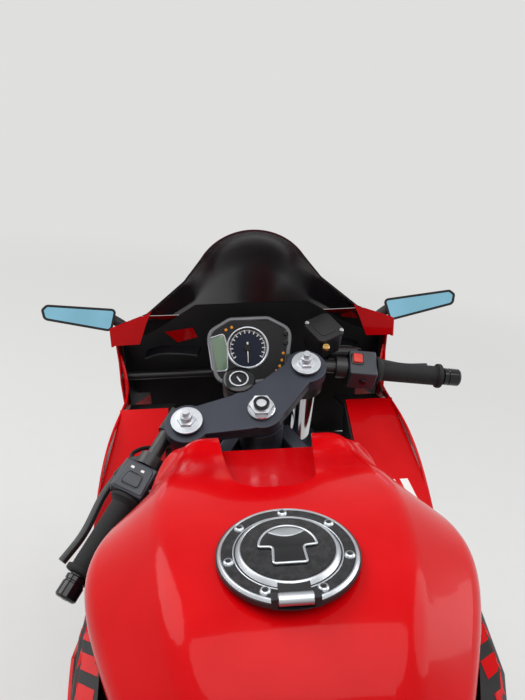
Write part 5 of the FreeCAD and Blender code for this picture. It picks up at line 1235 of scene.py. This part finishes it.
@dataclass
class Seats:
    """The rider's and the pillion's pads: covers swollen by a cloth simulation over their solids.

    Lengths are in metres; only the width of a sewn channel is in millimetres.
    """

    stance: Stance
    nodes: dict
    voxel: float = 0.005
    shrink: float = 0.003
    pressure: float = 4.0
    mass: float = 0.3
    quality: int = 5
    reach: float = 0.008
    frames: int = 20
    channel_depth: float = 0.0026
    channel_width: float = 3.5

    def settle(self, obj: bpy.types.Object) -> None:
        """Replaces an object's mesh by what its modifiers give, and removes them.

        Args:
            obj: the object.
        """
        made = bpy.data.meshes.new_from_object(obj.evaluated_get(bpy.context.evaluated_depsgraph_get()))
        obj.modifiers.clear()
        obj.data = made

    def read(self, obj: bpy.types.Object) -> tuple[Array, Array]:
        """Reads an object's mesh.

        Args:
            obj: the object.

        Returns:
            Its points and their normals.
        """
        count = len(obj.data.vertices)
        places, normals = np.empty(count * 3), np.empty(count * 3)
        obj.data.vertices.foreach_get("co", places)
        obj.data.vertices.foreach_get("normal", normals)
        return places.reshape(-1, 3), normals.reshape(-1, 3)

    def cover(self, name: str) -> bpy.types.Object:
        """Makes the cover of a pad before it swells.

        Args:
            name: the pad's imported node.

        Returns:
            A new object: an even mesh of the node, a little smaller.
        """
        mesh = self.nodes[name].data.copy()
        shape = bmesh.new()
        shape.from_mesh(mesh)
        bmesh.ops.remove_doubles(shape, verts=shape.verts, dist=MERGE)
        shape.to_mesh(mesh)
        shape.free()
        obj = linked(name + "_cover", mesh)
        even = obj.modifiers.new("even", "REMESH")
        even.mode, even.voxel_size = "VOXEL", self.voxel
        self.settle(obj)
        places, normals = self.read(obj)
        obj.data.vertices.foreach_set("co", (places - normals * self.shrink).ravel())
        return obj

    def swell(self, obj: bpy.types.Object) -> None:
        """Swells a cover under pressure.

        Each point's move is cut to the reach and multiplied by 1.6 n + 0.55, kept between 0 and
        1, with n the upward part of its normal, so that the underside stays.

        Args:
            obj: the cover.
        """
        before, normals = self.read(obj)
        cloth = obj.modifiers.new("cloth", "CLOTH")
        cloth.settings.quality = self.quality
        cloth.settings.mass = self.mass
        cloth.settings.use_pressure = True
        cloth.settings.uniform_pressure_force = self.pressure
        cloth.settings.effector_weights.gravity = 0.0
        cloth.collision_settings.use_collision = False
        cloth.point_cache.frame_end = self.frames
        scene = bpy.context.scene
        for step in range(1, self.frames + 1):
            scene.frame_set(step)
        self.settle(obj)
        scene.frame_set(1)
        move = self.read(obj)[0] - before
        length = np.linalg.norm(move, axis=1, keepdims=True)
        up = np.clip((normals @ self.stance.turn[:, 2])[:, None] * 1.6 + 0.55, 0.0, 1.0)
        places = before + move * np.minimum(1.0, self.reach / np.maximum(length, TINY)) * up
        obj.data.vertices.foreach_set("co", places.ravel())

    def channels(self, obj: bpy.types.Object, seams: Sequence[tuple[float, float, float]]) -> None:
        """Presses sewn channels into a cover: depth times exp(-(d / width)^2), d from the seam.

        The depth is multiplied by 2 n - 0.2, kept between 0 and 1, with n the upward part of the normal.

        Args:
            obj: the cover.
            seams: a, b and c of each seam, the line x = a + b |y| + c y^2 of the upright bike.
        """
        places, normals = self.read(obj)
        local = (places * 1000 - self.stance.shift) @ self.stance.turn
        x, y = local[:, 0], local[:, 1]
        dip = np.zeros(len(local))
        for a, b, c in seams:
            away = x - (a + b * np.abs(y) + c * y ** 2)
            dip = np.maximum(dip, self.channel_depth * np.exp(-(away / self.channel_width) ** 2))
        up = np.clip((normals @ self.stance.turn[:, 2]) * 2.0 - 0.2, 0.0, 1.0)
        obj.data.vertices.foreach_set("co", (places - normals * (dip * up)[:, None]).ravel())

    def build(self) -> None:
        """Builds both pads."""
        for name, fill, seams in (("rider_seat", 0.7, ((505.0, 0.0, -0.004), (335.0, -0.1, 0.0))),
                                  ("pillion_seat", 0.8, ((232.0, 0.0, -0.003), (62.0, 0.0, 0.003)))):
            obj = self.cover(name)
            self.swell(obj)
            smooth = obj.modifiers.new("smooth", "SUBSURF")
            smooth.levels = smooth.render_levels = 1
            self.settle(obj)
            self.channels(obj, seams)
            obj.data.shade_smooth()
            obj.data.materials.clear()
            obj.data.materials.append(LEATHER.build())
            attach(obj, "frame")
            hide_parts(name)
            LOG.info("%s: %d points", obj.name, len(obj.data.vertices))


# Wheels

@dataclass
class Tyre:
    """One grooved tyre: a semicircular crown on flat sidewalls, in millimetres about its axle.

    The widths of a groove and of its edge are shares of the pitch; its fade is in degrees of the crown.
    """

    name: str
    body: str
    centre: Array
    turn: Array
    outer_r: float
    half: float
    bead_half: float
    bead_r: float = 218.0
    pitches: int = 22
    depth: float = 4.0
    groove: float = 0.13
    groove_edge: float = 0.03
    groove_fade: float = 2.5
    steps: int = 704

    def rows(self) -> tuple[Array, Array]:
        """The tyre's section.

        Returns:
            Radius of each row and its distance from the middle plane, and its crown angle,
            which is nan off the crown.
        """
        crown = self.outer_r - self.half
        side = [(self.bead_r, self.bead_half - 0.3), (self.bead_r + 4, self.bead_half),
                (self.bead_r + 10, self.bead_half), (self.bead_r + 12, self.bead_half + 1.4),
                (self.bead_r + 16, self.bead_half + 1.6), (self.bead_r + 18, self.bead_half + 1.6)]
        wall = np.linspace(0, 1, 9)[1:-1, None]
        wall = np.array(side[-1]) * (1 - wall) + np.array([crown, self.half - 0.2]) * wall
        left = np.concatenate([np.array(side), wall])
        angle = np.radians(np.linspace(90, -90, 73))
        arc = np.stack([crown + self.half * np.cos(angle), self.half * np.sin(angle)], 1)
        whole = np.concatenate([left, arc, left[::-1] * np.array([1, -1]), left[:1]])
        none = np.full(len(left), np.nan)
        return whole, np.concatenate([none, np.degrees(angle), none, none[:1]])

    def build(self) -> None:
        """Builds the tyre: radius less depth in grooves that slant back from the middle of the crown.

        A point is in a groove where the fractional part of pitches * t / 2 pi + offset - slant * |a|
        is below the groove's width, with t the angle round the axle and a the crown angle, on one
        side of the crown and within limits of a.
        """
        profile, angle = self.rows()
        t = np.arange(self.steps) * 2 * math.pi / self.steps
        lean = np.abs(np.nan_to_num(angle, nan=999.0))[:, None]
        turn = self.pitches * t[None, :] / (2 * math.pi)
        cut = np.zeros((len(profile), self.steps))
        long, short = (0.016, 9.0, 52.0), (0.030, 38.0, 68.0)
        grooves = ((0.0, *long, 1), (0.5, *long, -1), (0.25, *short, 1), (0.75, *short, -1))
        for offset, slant, low, high, sign in grooves:
            phase = (turn + offset - slant * lean) % 1.0
            edge = np.clip(np.minimum(phase, self.groove - phase) / self.groove_edge, 0.0, 1.0)
            ends = np.clip(np.minimum(lean - low, high - lean) / self.groove_fade, 0.0, 1.0)
            same = np.sign(np.nan_to_num(angle, nan=0.0))[:, None] == sign
            cut = np.maximum(cut, edge * ends * same)
        radius = profile[:, :1] - self.depth * cut
        width = np.repeat(profile[:, 1:], self.steps, 1)
        points = np.stack([radius * np.cos(t), width, radius * np.sin(t)], -1)
        placed = (points @ self.turn.T + self.centre) / 1000
        Piece(self.name + "_tread", [placed], TYRE, self.body, (self.name,), ends=False, crease=28.0).build()


@dataclass
class Disc:
    """Drilled brake discs on dark carriers, in millimetres about their axle; side 1 is the left."""

    name: str
    body: str
    centre: Array
    turn: Array
    sides: tuple[int, ...]
    outer_r: float
    inner_y: float
    band: float
    hub_r: float = 31.0
    thick: float = 5.0
    holes: int = 40
    hole_r: float = 3.0
    hole_rows: int = 3
    arms: int = 8

    def place(self, flat: Array) -> Array:
        """Places points of (radial, radial, along the axle) in the model's frame, in metres."""
        return (flat[..., [0, 2, 1]] @ self.turn.T + self.centre) / 1000

    def cell(self, angle: float, low: float, high: float, y0: float, y1: float) -> Array:
        """A wedge of the band with a round hole.

        Args:
            angle: its middle's angle round the axle.
            low: its inner radius.
            high: its outer radius.
            y0: the disc's one face.
            y1: the disc's other face.

        Returns:
            Four rings: the wedge's and the hole's at one face, then the hole's and the wedge's
            at the other. The wedge's points are those of a square seen along the hole's radii.
        """
        count = 16
        k = np.arange(count) * 2 * math.pi / count
        ring = np.stack([np.cos(k), np.sin(k)], 1)
        square = ring / np.abs(ring).max(axis=1, keepdims=True)
        middle = (low + high) / 2
        r = middle + square[:, 0] * (high - low) / 2
        a = angle + square[:, 1] * math.pi / self.holes
        wedge = np.stack([r * np.cos(a), r * np.sin(a)], 1)
        turn = turn_matrix((0, 0, 1), math.degrees(angle))[:2, :2].T
        hole = middle * turn[0] + self.hole_r * ring @ turn
        rows = [at_height(points, y) for points, y in ((wedge, y0), (hole, y0), (hole, y1), (wedge, y1))]
        return self.place(np.array(rows))

    def build(self) -> None:
        """Builds the drilled bands, the carriers' arms and the floating buttons."""
        bands, carriers, buttons = [], [], []
        inner, hub, root = self.outer_r - self.band, self.hub_r + 0.3, self.hub_r + 8
        rows = np.linspace(inner, self.outer_r, self.hole_rows + 1)
        arm = outline([(root, -9, 2), (inner + 1, -6, 2), (inner + 1, 6, 2), (root, 9, 2)], 4)
        for side in self.sides:
            y0, y1 = sorted((side * self.inner_y, side * (self.inner_y + self.thick)))
            for row in range(self.hole_rows):
                for k in range(self.holes):
                    angle = (k + 0.5 * (row % 2)) * 2 * math.pi / self.holes
                    bands.append(self.cell(angle, rows[row], rows[row + 1], y0, y1))
            for edge in (inner, self.outer_r):
                bands.append(self.place(turned([(y0, edge), (y1, edge)], self.holes * 4)))
            button = turned([(y0 - 0.8, 0.01), (y0 - 0.8, 5.0), (y0, 6.2), (y1, 6.2), (y1 + 0.8, 5.0),
                             (y1 + 0.8, 0.01)], 20)
            for k in range(self.arms):
                turn = turn_matrix((0, 0, 1), 360 * k / self.arms)
                carriers.append(self.place(slab(arm @ turn[:2, :2].T, y0 + 0.4, y1 - 0.4, 0.6, 0.6)))
                buttons.append(self.place(button + turn[:, 0] * (inner + 1)))
            ring = turned([(y0 + 0.2, hub), (y0 + 0.2, self.hub_r + 14), (y1 - 0.2, self.hub_r + 14),
                           (y1 - 0.2, hub), (y0 + 0.2, hub)], 64)
            carriers.append(self.place(ring))
        Piece(self.name + "_bands", bands, STEEL, self.body, (self.name,), ends=False).build()
        Piece(self.name + "_carriers", carriers, BLACK_METAL, self.body, slot="black_metal").build()
        Piece(self.name + "_buttons", buttons, SILVER, self.body, slot="bright_metal").build()


@dataclass
class Wheels:
    """Both wheels' tyres and discs."""

    stance: Stance

    def build(self) -> None:
        """Builds front and rear."""
        front, rear = self.stance.joint("front_wheel_spin"), self.stance.joint("rear_wheel_spin")
        head, bike = self.stance.turn @ self.stance.head_turn(), self.stance.turn
        Tyre("front_tyre", "front_wheel", front, head, 300.0, 60.0, 45.0).build()
        Tyre("rear_tyre", "rear_wheel", rear, bike, 315.0, 90.0, 72.0).build()
        Disc("front_discs", "front_wheel", front, head, (1, -1), 155.0, 50.3, 34.0).build()
        Disc("rear_disc", "rear_wheel", rear, bike, (-1,), 110.0, 62.3, 27.0).build()


# Studio

@dataclass
class Studio:
    """Floor, lights and the camera at the photograph's place.

    The eye is in the upright bike; the focal length and the picture's height are in pixels.
    """

    stance: Stance
    eye: tuple[float, float, float] = (372.5, 38.1, 1329.6)
    azimuth: float = -3.36
    elevation: float = -24.25
    roll: float = -1.06
    focal_pixels: float = 548.24
    picture_pixels: float = 700.0
    sensor: float = 36.0
    backdrop: tuple[float, float, float] = (0.74, 0.74, 0.73)
    world_colour: tuple[float, float, float] = (0.80, 0.82, 0.85)
    world_light: float = 0.42
    floor_half: float = 14.0
    fade_distances: tuple[float, float] = (0.8, 5.0)
    fade_shares: tuple[float, float] = (0.45, 1.0)
    clip: tuple[float, float] = (0.02, 60.0)
    aim: tuple[float, float, float] = (0.1, 0.0, 0.7)

    def camera(self) -> None:
        """Sets the camera in the leaning bike: ahead, right and up are turned with it."""
        az, el, roll = (math.radians(v) for v in (self.azimuth, self.elevation, self.roll))
        ahead = np.array([math.cos(el) * math.cos(az), math.cos(el) * math.sin(az), math.sin(el)])
        right = np.cross(ahead, (0, 0, 1))
        right /= np.linalg.norm(right)
        up = np.cross(right, ahead)
        cos, sin = math.cos(roll), math.sin(roll)
        right, up = cos * right + sin * up, cos * up - sin * right
        data = bpy.data.cameras.new("camera")
        data.sensor_width = self.sensor
        data.lens = self.sensor * self.focal_pixels / self.picture_pixels
        data.clip_start, data.clip_end = self.clip
        matrix = np.eye(4)
        matrix[:3, :3] = self.stance.turn @ np.stack([right, up, -ahead], axis=1)
        matrix[:3, 3] = self.stance.bike(np.array(self.eye))
        camera = linked("camera", data)
        camera.matrix_world = Matrix(matrix.tolist())
        bpy.context.scene.camera = camera

    def seen(self, tree: bpy.types.NodeTree) -> bpy.types.NodeSocket:
        """The largest of three ray kinds' flags.

        Args:
            tree: the nodes to add to.

        Returns:
            A socket: one for camera, glossy and transmission rays, else nought.
        """
        ray = tree.nodes.new("ShaderNodeLightPath")
        value = ray.outputs["Is Camera Ray"]
        for other in ("Is Glossy Ray", "Is Transmission Ray"):
            larger = tree.nodes.new("ShaderNodeMath")
            larger.operation = "MAXIMUM"
            tree.links.new(value, larger.inputs[0])
            tree.links.new(ray.outputs[other], larger.inputs[1])
            value = larger.outputs["Value"]
        return value

    def mixed(self, tree: bpy.types.NodeTree, share: bpy.types.NodeSocket,
              shaders: Sequence[bpy.types.NodeSocket], output: bpy.types.Node) -> None:
        """Links a mix of two shaders to an output.

        Args:
            tree: the nodes to add to.
            share: the second shader's share.
            shaders: both shaders.
            output: the node that takes the mix.
        """
        mix = tree.nodes.new("ShaderNodeMixShader")
        tree.links.new(share, mix.inputs["Fac"])
        tree.links.new(shaders[0], mix.inputs[1])
        tree.links.new(shaders[1], mix.inputs[2])
        tree.links.new(mix.outputs["Shader"], output.inputs["Surface"])

    def floor(self) -> None:
        """A pale floor with the bike's shadow, which fades into the backdrop with the distance."""
        mesh = bpy.data.meshes.new("floor")
        square = [(x * self.floor_half, y * self.floor_half, 0)
                  for x, y in ((-1, -1), (1, -1), (1, 1), (-1, 1))]
        mesh.from_pydata(square, [], [(0, 1, 2, 3)])
        pale = Finish("pale_floor", self.backdrop, 0.9, specular=0.1, variation=0.01, pattern=Pattern.SMOOTH)
        material = pale.build()
        tree = material.node_tree
        glow = tree.nodes.new("ShaderNodeEmission")
        glow.inputs["Color"].default_value = (*self.backdrop, 1)
        away = tree.nodes.new("ShaderNodeVectorMath")
        away.operation = "LENGTH"
        tree.links.new(first_node(tree, "TEX_COORD").outputs["Object"], away.inputs[0])
        fade = tree.nodes.new("ShaderNodeMapRange")
        fade.inputs["From Min"].default_value, fade.inputs["From Max"].default_value = self.fade_distances
        fade.inputs["To Min"].default_value, fade.inputs["To Max"].default_value = self.fade_shares
        tree.links.new(away.outputs["Value"], fade.inputs["Value"])
        share = tree.nodes.new("ShaderNodeMath")
        share.operation = "MULTIPLY"
        tree.links.new(fade.outputs["Result"], share.inputs[0])
        tree.links.new(self.seen(tree), share.inputs[1])
        shaders = (first_node(tree, "BSDF_PRINCIPLED").outputs["BSDF"], glow.outputs["Emission"])
        self.mixed(tree, share.outputs["Value"], shaders, first_node(tree, "OUTPUT_MATERIAL"))
        mesh.materials.append(material)
        linked("floor", mesh)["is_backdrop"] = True

    def lamps(self) -> None:
        """Large soft lamps on both sides and above."""
        for name, place, size, power in (("key", (1.6, 2.8, 3.2), 3.4, 100.0),
                                         ("fill", (0.4, -3.2, 2.6), 3.4, 60.0),
                                         ("top", (-0.8, 0.2, 3.8), 3.2, 60.0)):
            data = bpy.data.lights.new(name, "AREA")
            data.shape, data.size, data.energy = "DISK", size, power
            lamp = linked(name, data)
            lamp.location = place
            lamp.rotation_mode = "QUATERNION"
            lamp.rotation_quaternion = (Vector(self.aim) - Vector(place)).to_track_quat("-Z", "Y")

    def world(self) -> None:
        """A world that lights the bike softly and shows the pale backdrop where it is seen."""
        world = bpy.data.worlds.new("studio")
        world.use_nodes = True
        tree = world.node_tree
        light, behind = tree.nodes["Background"], tree.nodes.new("ShaderNodeBackground")
        for node, colour, strength in ((light, self.world_colour, self.world_light),
                                       (behind, self.backdrop, 1.0)):
            node.inputs["Color"].default_value = (*colour, 1)
            node.inputs["Strength"].default_value = strength
        shaders = (light.outputs["Background"], behind.outputs["Background"])
        self.mixed(tree, self.seen(tree), shaders, tree.nodes["World Output"])
        bpy.context.scene.world = world
        bpy.context.scene.view_settings.view_transform = "Standard"

    def build(self) -> None:
        """Builds the camera, the floor and the lights."""
        self.camera()
        self.floor()
        self.lamps()
        self.world()


def corners(box: tuple) -> list[list[float]]:
    """A box's two corners as plain lists of numbers."""
    return [[float(v) for v in corner] for corner in box]


def main() -> None:
    """Builds the pieces in order."""
    logging.basicConfig(level=logging.INFO, format="%(message)s")
    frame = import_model()
    cad_box = corners(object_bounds())
    stance = Stance(frame["joints"])
    PackedNodes(frame).dress()
    SoftenedNodes(frame, SOFT_EDGES).build()
    FuelCap(stance).build()
    Bars(stance).build()
    Cockpit(stance).build()
    Bodywork(stance, frame["nodes"]).build()
    Wheels(stance).build()
    Seats(stance, frame["nodes"]).build()
    Studio(stance).build()
    {"cad": cad_box, "visual": corners(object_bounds())}


if __name__ == "__main__":
    main()
